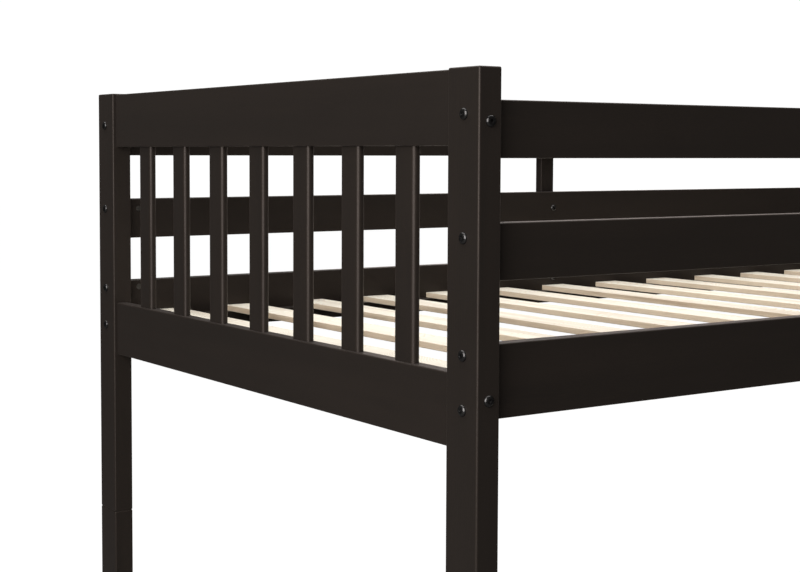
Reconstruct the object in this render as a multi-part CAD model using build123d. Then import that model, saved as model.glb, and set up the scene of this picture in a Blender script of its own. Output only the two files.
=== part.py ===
from build123d import *
import os

# A twin-over-twin wooden bunk bed with a hook-on ladder.
# Sizes are in millimetres. X runs along the bed from the left end to the right end, Y runs from the
# front, where the ladder hangs, to the back, and Z is up. While it is built the bed stands with its
# front left corner over X = 0, Y = 0; every piece is moved to the reference point as it is written.

# ---- overall ----
BED_LENGTH = 2008.0
BED_WIDTH = 1072.0
BED_HEIGHT = 1530.0
UPPER_POST_LENGTH = 720.0
LOWER_POST_LENGTH = BED_HEIGHT - UPPER_POST_LENGTH

# ---- posts ----
POST_THICK = 33.0            # along X
POST_WIDE = 60.0             # along Y
POST_EASE = 2.5
POST_END_EASE = 2.2

# ---- boards ----
BOARD_THICK = 20.0
BOARD_EASE = 2.0
TALL_BOARD = 89.0            # end rails and bed rails
GUARD_BOARD = 68.0           # guard rails
END_RAIL_SETBACK = 6.5       # from the post's outer end face to the end rail
SIDE_RAIL_SETBACK = 18.0     # from the post's outer side face to the bed rail and guard rails
RAIL_MID_DEPTH = SIDE_RAIL_SETBACK + BOARD_THICK / 2
END_MID_DEPTH = END_RAIL_SETBACK + BOARD_THICK / 2

# ---- heights, each measured down from a bunk's datum ----
UPPER_DATUM = BED_HEIGHT
LOWER_DATUM = 672.5
TOP_RAIL_DROP = 1.5
BOTTOM_RAIL_DROP = 357.5
BED_RAIL_DROP = 321.5
HIGH_GUARD_DROP = 37.0
LOW_GUARD_DROP = 180.0

# ---- upright slats of the end panels ----
END_SLAT_COUNT = 7
END_SLAT_WIDE = 42.0
END_SLAT_THICK = 12.0
END_SLAT_EASE = 5.0
MORTISE_DEPTH = 12.0
MORTISE_CLEARANCE = 0.1

# ---- bed slats and the ledges that carry them ----
BED_SLAT_COUNT = 13
BED_SLAT_WIDE = 58.0
BED_SLAT_THICK = 10.0
BED_SLAT_PITCH = 149.5
BED_SLAT_EASE = 1.0
BED_SLAT_DROP = 375.0
BED_SLAT_END_GAP = 0.5
LEDGE_THICK = 20.0
LEDGE_TALL = 24.0
LEDGE_END_GAP = 70.0
LEDGE_SCREW_COUNT = 6

# ---- outside stiles that tie the guard rails to the bed rail ----
STILE_WIDE = 34.0
STILE_THICK = SIDE_RAIL_SETBACK
LADDER_OPENING = 375.0
LADDER_STILE_RIGHT = BED_LENGTH - POST_THICK - LADDER_OPENING
STILE_CENTRES = {
    "guard_stile_back": ("back", BED_LENGTH / 2),
    "guard_stile_front": ("front", BED_LENGTH / 2),
    "guard_stile_ladder": ("front", LADDER_STILE_RIGHT - STILE_WIDE / 2),
}

# ---- fasteners ----
BOLT_R = 3.0
BOLT_HOLE_R = 3.2
HEAD_R = 7.0
HEAD_TALL = 3.4
HEAD_ROUND = 2.6
SOCKET_ACROSS = 4.0
SOCKET_DEEP = 2.2
NUT_R = 5.0
NUT_LONG = 15.0
NUT_SINK = 1.5
NUT_SLOT_WIDE = 1.2
NUT_SLOT_DEEP = 1.4
NUT_INSET = 24.5             # from the end of the board to the barrel nut
SIDE_BOLT_LONG = 65.0        # through the post's thickness into a side rail
END_BOLT_LONG = 92.0         # through the post's width into an end rail
STILE_BOLT_LONG = 34.0
DOWEL_R = 4.0
DOWEL_LONG = 40.0
DOWEL_IN_POST = 18.0
DOWEL_END_EASE = 0.8
SCREW_R = 1.75
SCREW_HEAD_R = 3.8
SCREW_HEAD_TALL = 2.4
SCREW_LONG = 32.0
SCREW_CROSS_LONG = 4.4
SCREW_CROSS_WIDE = 0.9
SCREW_CROSS_DEEP = 1.2
FIT_CLEARANCE = 0.05
HOLE_BOTTOM_GAP = 1.0
PIN_R = 5.0
PIN_LONG = 80.0
PIN_LOOSE = 0.3

# ---- bolt and dowel heights, measured down from the datum ----
GUARD_BOLT_RISE = 17.0       # above the middle of a guard rail
GUARD_DOWEL_FALL = 17.0      # below it
BED_RAIL_BOLT_DROPS = (333.5, 397.5)
BED_RAIL_DOWEL_DROP = 365.5
TOP_RAIL_BOLT_DROP = 62.5
TOP_RAIL_DOWEL_DROP = 30.0
BOTTOM_RAIL_BOLT_DROP = 384.0
BOTTOM_RAIL_DOWEL_DROP = 419.0
STILE_BED_BOLT_DROP = 359.0

# ---- ladder ----
LADDER_WIDE = 360.0
LADDER_STILE_THICK = 25.0
LADDER_STILE_DEEP = 58.0
LADDER_STILE_EASE = 3.0
LADDER_TOP_ROUND = 14.0
LADDER_CENTRE_X = LADDER_STILE_RIGHT + LADDER_OPENING / 2
HOOK_THICK = 3.0
HOOK_WIDE = 22.0
HOOK_RAIL_GAP = 0.5
HOOK_FRONT_LONG = 58.0
HOOK_BACK_LONG = 34.0
HOOK_OUTER_ROUND = 3.6
HOOK_INNER_ROUND = 0.6
HOOK_SCREW_DROPS = (24.0, 46.0)
LADDER_BACK = SIDE_RAIL_SETBACK - HOOK_RAIL_GAP - HOOK_THICK
LADDER_FRONT = LADDER_BACK - LADDER_STILE_DEEP
RUNG_COUNT = 4
RUNG_THICK = 22.0
RUNG_DEEP = 52.0
RUNG_EASE = 4.0
RUNG_BOLT_LONG = 60.0
RUNG_NUT_INSET = 28.0
RUNG_FIXING_OFFSET = 12.0    # bolt in front of the rung's middle, dowel behind it
RUNG_DOWEL_IN_STILE = 16.0

# ---- derived ----
BED_RAIL_TOP = UPPER_DATUM - BED_RAIL_DROP
LADDER_TOP = UPPER_DATUM - HIGH_GUARD_DROP
RUNG_STEP = BED_RAIL_TOP / (RUNG_COUNT + 1)
Y_CENTRE = (BED_WIDTH + HEAD_TALL + LADDER_FRONT) / 2
TO_REFERENCE = Pos(-BED_LENGTH / 2, -Y_CENTRE, 0)
ENDS = ("left", "right")
SIDES = ("front", "back")
DATUMS = {"lower": LOWER_DATUM, "upper": UPPER_DATUM}
UP = Vector(0, 0, 1)


# ---------------------------------------------------------------- places
def x_in(end, distance):
    """X at a distance in from an end's outer face."""
    return distance if end == "left" else BED_LENGTH - distance


def y_in(side, distance):
    """Y at a distance in from a side's outer face."""
    return distance if side == "front" else BED_WIDTH - distance


def end_inward(end):
    """Direction along X into the bed from an end."""
    return Vector(1, 0, 0) if end == "left" else Vector(-1, 0, 0)


def side_inward(side):
    """Direction along Y into the bed from a side."""
    return Vector(0, 1, 0) if side == "front" else Vector(0, -1, 0)


def guard_drops():
    """Drop of each guard rail's top, by name."""
    return {"high": HIGH_GUARD_DROP, "low": LOW_GUARD_DROP}


def side_bolt_drops(bunk, side, end):
    """Drops of the bolts that go through one post into the side's boards."""
    drops = list(BED_RAIL_BOLT_DROPS)
    if has_guards(bunk, side, end):
        drops += [top + GUARD_BOARD / 2 - GUARD_BOLT_RISE for top in guard_drops().values()]
    return drops


def side_dowel_drops(bunk, side, end):
    """Drops of the dowels between one post and the side's boards."""
    drops = [BED_RAIL_DOWEL_DROP]
    if has_guards(bunk, side, end):
        drops += [top + GUARD_BOARD / 2 + GUARD_DOWEL_FALL for top in guard_drops().values()]
    return drops


def has_guards(bunk, side, end):
    """Guard rails meet every post of the upper bunk but the one beside the ladder."""
    return bunk == "upper" and (side, end) != ("front", "right")


def bed_slat_centres():
    """X of the middle of each bed slat."""
    first = BED_LENGTH / 2 - BED_SLAT_PITCH * (BED_SLAT_COUNT - 1) / 2
    return [first + BED_SLAT_PITCH * index for index in range(BED_SLAT_COUNT)]


def end_slat_centres():
    """Y of the middle of each upright slat, with equal gaps between the posts."""
    clear = BED_WIDTH - 2 * POST_WIDE
    gap = (clear - END_SLAT_COUNT * END_SLAT_WIDE) / (END_SLAT_COUNT + 1)
    pitch = gap + END_SLAT_WIDE
    first = POST_WIDE + gap + END_SLAT_WIDE / 2
    return [first + pitch * index for index in range(END_SLAT_COUNT)]


def ledge_screw_places():
    """X of each screw that holds a ledge to its bed rail, midway between bed slats."""
    slats = bed_slat_centres()
    step = (BED_SLAT_COUNT - 1) // LEDGE_SCREW_COUNT
    return [(slats[step * index] + slats[step * index + 1]) / 2 for index in range(LEDGE_SCREW_COUNT)]


# ---------------------------------------------------------------- simple solids
def block(xs, ys, zs):
    """Box between pairs of coordinates, given in any order."""
    (xa, xb), (ya, yb), (za, zb) = sorted(xs), sorted(ys), sorted(zs)
    middle = Pos((xa + xb) / 2, (ya + yb) / 2, (za + zb) / 2)
    return middle * Box(xb - xa, yb - ya, zb - za)


def eased_block(xs, ys, zs, grain, radius):
    """Board with its four long edges rounded; grain is the axis that it runs along."""
    board = block(xs, ys, zs)
    return fillet(board.edges().filter_by(grain), radius)


def rod(start, direction, radius, length):
    """Cylinder that starts at a point and runs in a direction."""
    place = Plane(origin=start, z_dir=direction).location
    return place * Cylinder(radius, length, align=(Align.CENTER, Align.CENTER, Align.MIN))


def drilled(board, tools):
    """The board with every tool cut out of it."""
    for tool in tools:
        board = board - tool
    return board


def group(solids):
    """Separate solids kept together in one node."""
    return Compound(children=list(solids))


# ---------------------------------------------------------------- fasteners
def button_bolt(seat, inward, length):
    """Button-head bolt with a hexagon socket, its head bearing on the seat."""
    shank = Cylinder(BOLT_R, length, align=(Align.CENTER, Align.CENTER, Align.MIN))
    head = Cylinder(HEAD_R, HEAD_TALL, align=(Align.CENTER, Align.CENTER, Align.MAX))
    head = fillet(head.edges().sort_by(Axis.Z)[0], HEAD_ROUND)
    hexagon = RegularPolygon(SOCKET_ACROSS / 2, 6, major_radius=False)
    socket = Pos(0, 0, -HEAD_TALL) * extrude(hexagon, SOCKET_DEEP)
    return Plane(origin=seat, z_dir=inward).location * (shank + head - socket)


def barrel_nut(mouth, inward, bolt_at, bolt_along):
    """Cross dowel: a steel barrel with a threaded cross hole and a screwdriver slot."""
    face = mouth + inward * NUT_SINK
    nut = rod(face, inward, NUT_R, NUT_LONG)
    slot = Box(2 * NUT_R, NUT_SLOT_WIDE, 2 * NUT_SLOT_DEEP)
    nut = nut - Plane(origin=face, x_dir=bolt_along, z_dir=inward).location * slot
    return nut - rod(bolt_at - bolt_along * 2 * NUT_R, bolt_along, BOLT_R + FIT_CLEARANCE, 4 * NUT_R)


def nut_hole(mouth, inward):
    """Blind hole for a barrel nut, drilled from the face at its mouth."""
    depth = NUT_SINK + NUT_LONG + HOLE_BOTTOM_GAP / 2
    return rod(mouth, inward, NUT_R + FIT_CLEARANCE, depth)


def dowel(start, direction):
    """Hardwood dowel with eased ends."""
    pin = Cylinder(DOWEL_R, DOWEL_LONG, align=(Align.CENTER, Align.CENTER, Align.MIN))
    pin = chamfer(pin.edges().filter_by(GeomType.CIRCLE), DOWEL_END_EASE)
    return Plane(origin=start, z_dir=direction).location * pin


def dowel_hole(start, direction, length):
    """Hole for one end of a dowel."""
    return rod(start, direction, DOWEL_R + FIT_CLEARANCE, length + HOLE_BOTTOM_GAP)


def screw(seat, inward, length):
    """Countersunk wood screw with a cross recess, its head flush with the seat."""
    head = Cone(SCREW_HEAD_R, SCREW_R, SCREW_HEAD_TALL, align=(Align.CENTER, Align.CENTER, Align.MIN))
    shank = Cylinder(SCREW_R, length, align=(Align.CENTER, Align.CENTER, Align.MIN))
    cross = Box(SCREW_CROSS_LONG, SCREW_CROSS_WIDE, 2 * SCREW_CROSS_DEEP)
    cross = cross + Box(SCREW_CROSS_WIDE, SCREW_CROSS_LONG, 2 * SCREW_CROSS_DEEP)
    return Plane(origin=seat, z_dir=inward).location * (head + shank - cross)


def screw_hole(seat, inward, length):
    """Countersunk hole that a screw fills, with a little room all round."""
    wide, narrow = SCREW_HEAD_R + FIT_CLEARANCE, SCREW_R + FIT_CLEARANCE
    sink = Cone(wide, narrow, SCREW_HEAD_TALL, align=(Align.CENTER, Align.CENTER, Align.MIN))
    shaft = Cylinder(narrow, length + HOLE_BOTTOM_GAP, align=(Align.CENTER, Align.CENTER, Align.MIN))
    return Plane(origin=seat, z_dir=inward).location * (sink + shaft)


# ---------------------------------------------------------------- fixing places
def side_fixing(side, end, drop, datum, depth_x):
    """Point on the centre line of a side rail, at a depth in from the end."""
    return Vector(x_in(end, depth_x), y_in(side, RAIL_MID_DEPTH), datum - drop)


def end_fixing(side, end, drop, datum, depth_y):
    """Point on the centre line of an end rail, at a depth in from the side."""
    return Vector(x_in(end, END_MID_DEPTH), y_in(side, depth_y), datum - drop)


def side_nut_mouth(side, end, drop, datum):
    """Mouth of a barrel nut's hole, on the inner face of a side rail."""
    depth = SIDE_RAIL_SETBACK + BOARD_THICK
    return Vector(x_in(end, POST_THICK + NUT_INSET), y_in(side, depth), datum - drop)


def end_nut_mouth(side, end, drop, datum):
    """Mouth of a barrel nut's hole, on the inner face of an end rail."""
    depth = END_RAIL_SETBACK + BOARD_THICK
    return Vector(x_in(end, depth), y_in(side, POST_WIDE + NUT_INSET), datum - drop)


def side_board_cuts(side, end, bolt_drops, dowel_drops, datum):
    """Holes in one end of a bed rail or guard rail."""
    inward = end_inward(end)
    bolt_depth = SIDE_BOLT_LONG - POST_THICK + HOLE_BOTTOM_GAP
    cuts = []
    for drop in bolt_drops:
        cuts.append(rod(side_fixing(side, end, drop, datum, POST_THICK), inward, BOLT_HOLE_R, bolt_depth))
        cuts.append(nut_hole(side_nut_mouth(side, end, drop, datum), -side_inward(side)))
    for drop in dowel_drops:
        start = side_fixing(side, end, drop, datum, POST_THICK)
        cuts.append(dowel_hole(start, inward, DOWEL_LONG - DOWEL_IN_POST))
    return cuts


def end_board_cuts(side, end, bolt_drop, dowel_drop, datum):
    """Holes in one end of an end rail."""
    inward = side_inward(side)
    bolt_depth = END_BOLT_LONG - POST_WIDE + HOLE_BOTTOM_GAP
    start = end_fixing(side, end, dowel_drop, datum, POST_WIDE)
    return [
        rod(end_fixing(side, end, bolt_drop, datum, POST_WIDE), inward, BOLT_HOLE_R, bolt_depth),
        nut_hole(end_nut_mouth(side, end, bolt_drop, datum), -end_inward(end)),
        dowel_hole(start, inward, DOWEL_LONG - DOWEL_IN_POST),
    ]


# ---------------------------------------------------------------- posts
def post(bunk, side, end):
    """Flat-section corner post with its bolt, dowel and pin holes."""
    low, high = (0.0, LOWER_POST_LENGTH) if bunk == "lower" else (LOWER_POST_LENGTH, BED_HEIGHT)
    xs = (x_in(end, 0), x_in(end, POST_THICK))
    ys = (y_in(side, 0), y_in(side, POST_WIDE))
    body = eased_block(xs, ys, (low, high), Axis.Z, POST_EASE)
    ends = body.edges().filter_by(lambda edge: edge.bounding_box().size.Z < POST_END_EASE)
    body = fillet(ends, POST_END_EASE)
    return drilled(body, post_cuts(bunk, side, end))


def post_cuts(bunk, side, end):
    """Every hole in one post."""
    datum = DATUMS[bunk]
    into_x, into_y = end_inward(end), side_inward(side)
    cuts = [pin_hole(bunk, side, end)]
    for drop in side_bolt_drops(bunk, side, end):
        cuts.append(rod(side_fixing(side, end, drop, datum, 0), into_x, BOLT_HOLE_R, POST_THICK))
    for drop in side_dowel_drops(bunk, side, end):
        start = side_fixing(side, end, drop, datum, POST_THICK)
        cuts.append(dowel_hole(start, -into_x, DOWEL_IN_POST))
    for drop in (TOP_RAIL_BOLT_DROP, BOTTOM_RAIL_BOLT_DROP):
        cuts.append(rod(end_fixing(side, end, drop, datum, 0), into_y, BOLT_HOLE_R, POST_WIDE))
    for drop in (TOP_RAIL_DOWEL_DROP, BOTTOM_RAIL_DOWEL_DROP):
        start = end_fixing(side, end, drop, datum, POST_WIDE)
        cuts.append(dowel_hole(start, -into_y, DOWEL_IN_POST))
    return cuts


def pin_foot(side, end):
    """Middle of a post's section, at the level where the two bunks meet."""
    return Vector(x_in(end, POST_THICK / 2), y_in(side, POST_WIDE / 2), LOWER_POST_LENGTH)


def pin_hole(bunk, side, end):
    """Blind hole for a stacking pin: snug in the lower post, loose in the upper one."""
    direction = -UP if bunk == "lower" else UP
    room = FIT_CLEARANCE if bunk == "lower" else PIN_LOOSE
    return rod(pin_foot(side, end), direction, PIN_R + room, PIN_LONG / 2 + HOLE_BOTTOM_GAP)


def stacking_pins():
    """Four steel pins that stand in the lower posts and locate the upper ones."""
    pins = []
    for side in SIDES:
        for end in ENDS:
            pin = rod(pin_foot(side, end) - UP * PIN_LONG / 2, UP, PIN_R, PIN_LONG)
            pins.append(chamfer(pin.edges().filter_by(GeomType.CIRCLE), DOWEL_END_EASE))
    return group(pins)


# ---------------------------------------------------------------- end panels
def end_rail(bunk, end, drop, bolt_drop, dowel_drop, mortise_side):
    """Rail across an end panel, mortised for the upright slats."""
    datum = DATUMS[bunk]
    top = datum - drop
    xs = (x_in(end, END_RAIL_SETBACK), x_in(end, END_RAIL_SETBACK + BOARD_THICK))
    rail = eased_block(xs, (POST_WIDE, BED_WIDTH - POST_WIDE), (top - TALL_BOARD, top), Axis.Y, BOARD_EASE)
    mouth = top if mortise_side == "top" else top - TALL_BOARD
    rail = drilled(rail, [mortise(end, y, mouth, mortise_side) for y in end_slat_centres()])
    for side in SIDES:
        rail = drilled(rail, end_board_cuts(side, end, bolt_drop, dowel_drop, datum))
    return rail


def mortise(end, y, mouth, mortise_side):
    """Pocket in an end rail that one upright slat fits into."""
    room = 2 * MORTISE_CLEARANCE
    outline = RectangleRounded(END_SLAT_THICK + room, END_SLAT_WIDE + room, END_SLAT_EASE)
    direction = -1 if mortise_side == "top" else 1
    return Pos(x_in(end, END_MID_DEPTH), y, mouth) * extrude(outline, direction * MORTISE_DEPTH)


def end_slats(bunk, end):
    """Upright slats of one end panel, each let into both rails."""
    datum = DATUMS[bunk]
    reach = MORTISE_DEPTH - HOLE_BOTTOM_GAP
    high = datum - TOP_RAIL_DROP - TALL_BOARD + reach
    low = datum - BOTTOM_RAIL_DROP - reach
    outline = RectangleRounded(END_SLAT_THICK, END_SLAT_WIDE, END_SLAT_EASE)
    return group(Pos(x_in(end, END_MID_DEPTH), y, low) * extrude(outline, high - low) for y in end_slat_centres())


# ---------------------------------------------------------------- sides
def side_board(side, x_right, top, tall):
    """Plain board between the posts of one side, without its holes."""
    ys = (y_in(side, SIDE_RAIL_SETBACK), y_in(side, SIDE_RAIL_SETBACK + BOARD_THICK))
    return eased_block((POST_THICK, x_right), ys, (top - tall, top), Axis.X, BOARD_EASE)


def stile_bolt_cuts(side, drop, length=BOARD_THICK):
    """Clearance holes through a side's board for the stile bolts at one height."""
    cuts = []
    for stile_side, x in STILE_CENTRES.values():
        if stile_side == side:
            seat = stile_bolt_seat(side, x, drop)
            cuts.append(rod(seat, -side_inward(side), BOLT_HOLE_R, length))
    return cuts


def stile_bolt_seat(side, x, drop):
    """Point on a board's inner face where a stile bolt's head bears."""
    return Vector(x, y_in(side, SIDE_RAIL_SETBACK + BOARD_THICK), UPPER_DATUM - drop)


def bed_rail(bunk, side):
    """Long rail that carries the bed slats on its ledge."""
    datum = DATUMS[bunk]
    rail = side_board(side, BED_LENGTH - POST_THICK, datum - BED_RAIL_DROP, TALL_BOARD)
    for end in ENDS:
        rail = drilled(rail, side_board_cuts(side, end, BED_RAIL_BOLT_DROPS, (BED_RAIL_DOWEL_DROP,), datum))
    if bunk == "upper":
        rail = drilled(rail, stile_bolt_cuts(side, STILE_BED_BOLT_DROP))
    return drilled(rail, [screw_hole(seat, way, SCREW_LONG) for seat, way in ledge_screw_seats(bunk, side)])


def guard_rail(side, level):
    """Guard rail; the front ones stop at the stile beside the ladder."""
    drop = guard_drops()[level]
    x_right = BED_LENGTH - POST_THICK if side == "back" else LADDER_STILE_RIGHT
    middle = drop + GUARD_BOARD / 2
    rail = side_board(side, x_right, UPPER_DATUM - drop, GUARD_BOARD)
    for end in ENDS:
        if has_guards("upper", side, end):
            bolts, dowels = (middle - GUARD_BOLT_RISE,), (middle + GUARD_DOWEL_FALL,)
            rail = drilled(rail, side_board_cuts(side, end, bolts, dowels, UPPER_DATUM))
    return drilled(rail, stile_bolt_cuts(side, middle))


def stile_bolt_drops():
    """Drops of the bolts in every stile: one in each guard rail and one in the bed rail."""
    return [drop + GUARD_BOARD / 2 for drop in guard_drops().values()] + [STILE_BED_BOLT_DROP]


def guard_stile(name):
    """Upright outside the guard rails, bolted from inside the bed."""
    side, x = STILE_CENTRES[name]
    xs = (x - STILE_WIDE / 2, x + STILE_WIDE / 2)
    ys = (y_in(side, SIDE_RAIL_SETBACK - STILE_THICK), y_in(side, SIDE_RAIL_SETBACK))
    zs = (UPPER_DATUM - BED_RAIL_DROP - TALL_BOARD, UPPER_DATUM - HIGH_GUARD_DROP)
    stile = eased_block(xs, ys, zs, Axis.Z, BOARD_EASE)
    cuts = []
    for drop in stile_bolt_drops():
        seat = stile_bolt_seat(side, x, drop)
        cuts.append(rod(seat, -side_inward(side), BOLT_R + FIT_CLEARANCE, STILE_BOLT_LONG + HOLE_BOTTOM_GAP))
    return drilled(stile, cuts)


# ---------------------------------------------------------------- slatted base
def ledge_span(side):
    """Y of a ledge's outer and inner faces."""
    outer = SIDE_RAIL_SETBACK + BOARD_THICK
    return y_in(side, outer), y_in(side, outer + LEDGE_THICK)


def ledge_top(bunk):
    """Height of the underside of the bed slats."""
    return DATUMS[bunk] - BED_SLAT_DROP - BED_SLAT_THICK


def ledge_screw_seats(bunk, side):
    """Seats and directions of the screws that hold a ledge to its bed rail."""
    z = ledge_top(bunk) - LEDGE_TALL / 2
    return [(Vector(x, ledge_span(side)[1], z), -side_inward(side)) for x in ledge_screw_places()]


def slat_screw_seats(bunk, side):
    """Seats and directions of the screws that hold the bed slats from below."""
    y = sum(ledge_span(side)) / 2
    return [(Vector(x, y, ledge_top(bunk) - LEDGE_TALL), UP) for x in bed_slat_centres()]


def slat_ledge(bunk, side):
    """Strip on the inner face of a bed rail that the bed slats rest on."""
    top = ledge_top(bunk)
    xs = (LEDGE_END_GAP, BED_LENGTH - LEDGE_END_GAP)
    strip = eased_block(xs, ledge_span(side), (top - LEDGE_TALL, top), Axis.X, BED_SLAT_EASE)
    seats = ledge_screw_seats(bunk, side) + slat_screw_seats(bunk, side)
    return drilled(strip, [screw_hole(seat, way, SCREW_LONG) for seat, way in seats])


def bed_slats(bunk):
    """Cross slats that carry the mattress."""
    low = ledge_top(bunk)
    end_gap = SIDE_RAIL_SETBACK + BOARD_THICK + BED_SLAT_END_GAP
    slats = []
    for x in bed_slat_centres():
        xs = (x - BED_SLAT_WIDE / 2, x + BED_SLAT_WIDE / 2)
        slats.append(bed_slat(bunk, xs, (end_gap, BED_WIDTH - end_gap), low))
    return group(slats)


def bed_slat(bunk, xs, ys, low):
    """One cross slat with its two pilot holes."""
    slat = eased_block(xs, ys, (low, low + BED_SLAT_THICK), Axis.Y, BED_SLAT_EASE)
    cuts = []
    for side in SIDES:
        start = Vector(sum(xs) / 2, sum(ledge_span(side)) / 2, low)
        reach = SCREW_LONG - LEDGE_TALL + HOLE_BOTTOM_GAP
        cuts.append(rod(start, UP, SCREW_R + FIT_CLEARANCE, reach))
    return drilled(slat, cuts)


# ---------------------------------------------------------------- fastener groups
def side_rail_bolts(bunk):
    """Bolts through the posts' end faces into the bed rails and guard rails."""
    datum = DATUMS[bunk]
    bolts = []
    for side in SIDES:
        for end in ENDS:
            for drop in side_bolt_drops(bunk, side, end):
                seat = side_fixing(side, end, drop, datum, 0)
                bolts.append(button_bolt(seat, end_inward(end), SIDE_BOLT_LONG))
    return group(bolts)


def end_rail_bolts(bunk):
    """Bolts through the posts' side faces into the end rails."""
    datum = DATUMS[bunk]
    bolts = []
    for side in SIDES:
        for end in ENDS:
            for drop in (TOP_RAIL_BOLT_DROP, BOTTOM_RAIL_BOLT_DROP):
                seat = end_fixing(side, end, drop, datum, 0)
                bolts.append(button_bolt(seat, side_inward(side), END_BOLT_LONG))
    return group(bolts)


def guard_stile_bolts():
    """Bolts from inside the bed through the rails into the outside stiles."""
    bolts = []
    for side, x in STILE_CENTRES.values():
        for drop in stile_bolt_drops():
            bolts.append(button_bolt(stile_bolt_seat(side, x, drop), -side_inward(side), STILE_BOLT_LONG))
    return group(bolts)


def barrel_nuts(bunk):
    """Cross dowels that the bed bolts screw into."""
    datum = DATUMS[bunk]
    nuts = []
    for side in SIDES:
        for end in ENDS:
            for drop in side_bolt_drops(bunk, side, end):
                mouth = side_nut_mouth(side, end, drop, datum)
                bolt_at = side_fixing(side, end, drop, datum, POST_THICK + NUT_INSET)
                nuts.append(barrel_nut(mouth, -side_inward(side), bolt_at, end_inward(end)))
            for drop in (TOP_RAIL_BOLT_DROP, BOTTOM_RAIL_BOLT_DROP):
                mouth = end_nut_mouth(side, end, drop, datum)
                bolt_at = end_fixing(side, end, drop, datum, POST_WIDE + NUT_INSET)
                nuts.append(barrel_nut(mouth, -end_inward(end), bolt_at, side_inward(side)))
    return group(nuts)


def rail_dowels(bunk):
    """Dowels that keep the rails from turning on their bolts."""
    datum = DATUMS[bunk]
    pins = []
    for side in SIDES:
        for end in ENDS:
            for drop in side_dowel_drops(bunk, side, end):
                start = side_fixing(side, end, drop, datum, POST_THICK - DOWEL_IN_POST)
                pins.append(dowel(start, end_inward(end)))
            for drop in (TOP_RAIL_DOWEL_DROP, BOTTOM_RAIL_DOWEL_DROP):
                start = end_fixing(side, end, drop, datum, POST_WIDE - DOWEL_IN_POST)
                pins.append(dowel(start, side_inward(side)))
    return group(pins)


def base_screws(bunk):
    """Screws of both ledges and of the bed slats."""
    seats = []
    for side in SIDES:
        seats += ledge_screw_seats(bunk, side) + slat_screw_seats(bunk, side)
    return group(screw(seat, way, SCREW_LONG) for seat, way in seats)


# ---------------------------------------------------------------- ladder
def ladder_face(hand):
    """X of the inner face of a ladder stile, and the direction out of the ladder."""
    outward = -1 if hand == "left" else 1
    return LADDER_CENTRE_X + outward * (LADDER_WIDE / 2 - LADDER_STILE_THICK), outward


def rung_heights():
    """Height of each rung's middle: equal steps from the floor to the bed rail's top."""
    return [RUNG_STEP * (index + 1) - RUNG_THICK / 2 for index in range(RUNG_COUNT)]


def rung_line(offset):
    """Y of a line of rung fixings, at an offset towards the front of the rungs' middle."""
    return (LADDER_FRONT + LADDER_BACK) / 2 - offset


def ladder_stile(hand):
    """Upright of the ladder, rounded at the top."""
    inner, outward = ladder_face(hand)
    outer = inner + outward * LADDER_STILE_THICK
    body = block((inner, outer), (LADDER_FRONT, LADDER_BACK), (0, LADDER_TOP))
    crown = body.edges().filter_by(Axis.X).group_by(Axis.Z)[-1]
    body = fillet(crown, LADDER_TOP_ROUND)
    rim = body.faces().sort_by(Axis.X)
    body = fillet(rim[0].edges() + rim[-1].edges(), LADDER_STILE_EASE)
    cuts = []
    for z in rung_heights():
        seat = Vector(outer, rung_line(RUNG_FIXING_OFFSET), z)
        cuts.append(rod(seat, Vector(-outward, 0, 0), BOLT_HOLE_R, LADDER_STILE_THICK))
        start = Vector(inner, rung_line(-RUNG_FIXING_OFFSET), z)
        cuts.append(dowel_hole(start, Vector(outward, 0, 0), RUNG_DOWEL_IN_STILE))
    for seat in hook_screw_seats(hand):
        cuts.append(rod(seat, Vector(0, -1, 0), SCREW_R + FIT_CLEARANCE, SCREW_LONG + HOLE_BOTTOM_GAP))
    return drilled(body, cuts)


def ladder_rung(z):
    """Flat tread with well rounded edges."""
    xs = (ladder_face("left")[0], ladder_face("right")[0])
    ys = (rung_line(RUNG_DEEP / 2), rung_line(-RUNG_DEEP / 2))
    rung = eased_block(xs, ys, (z - RUNG_THICK / 2, z + RUNG_THICK / 2), Axis.X, RUNG_EASE)
    cuts = []
    for hand in ENDS:
        inner, outward = ladder_face(hand)
        into = Vector(-outward, 0, 0)
        bolt_depth = RUNG_BOLT_LONG - LADDER_STILE_THICK + HOLE_BOTTOM_GAP
        cuts.append(rod(Vector(inner, rung_line(RUNG_FIXING_OFFSET), z), into, BOLT_HOLE_R, bolt_depth))
        cuts.append(nut_hole(rung_nut_mouth(hand, z), UP))
        start = Vector(inner, rung_line(-RUNG_FIXING_OFFSET), z)
        cuts.append(dowel_hole(start, into, DOWEL_LONG - RUNG_DOWEL_IN_STILE))
    return drilled(rung, cuts)


def rung_nut_mouth(hand, z):
    """Mouth of a barrel nut's hole, on the underside of a rung."""
    inner, outward = ladder_face(hand)
    return Vector(inner - outward * RUNG_NUT_INSET, rung_line(RUNG_FIXING_OFFSET), z - RUNG_THICK / 2)


def rung_bolts():
    """Bolts through the ladder stiles into the rungs."""
    bolts = []
    for hand in ENDS:
        inner, outward = ladder_face(hand)
        for z in rung_heights():
            seat = Vector(inner + outward * LADDER_STILE_THICK, rung_line(RUNG_FIXING_OFFSET), z)
            bolts.append(button_bolt(seat, Vector(-outward, 0, 0), RUNG_BOLT_LONG))
    return group(bolts)


def rung_nuts():
    """Barrel nuts in the undersides of the rungs."""
    nuts = []
    for hand in ENDS:
        for z in rung_heights():
            mouth = rung_nut_mouth(hand, z)
            bolt_at = mouth + UP * RUNG_THICK / 2
            nuts.append(barrel_nut(mouth, UP, bolt_at, Vector(-ladder_face(hand)[1], 0, 0)))
    return group(nuts)


def rung_dowels():
    """Dowels between the rungs and the ladder stiles."""
    pins = []
    for hand in ENDS:
        inner, outward = ladder_face(hand)
        for z in rung_heights():
            start = Vector(inner + outward * RUNG_DOWEL_IN_STILE, rung_line(-RUNG_FIXING_OFFSET), z)
            pins.append(dowel(start, Vector(-outward, 0, 0)))
    return group(pins)


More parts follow.
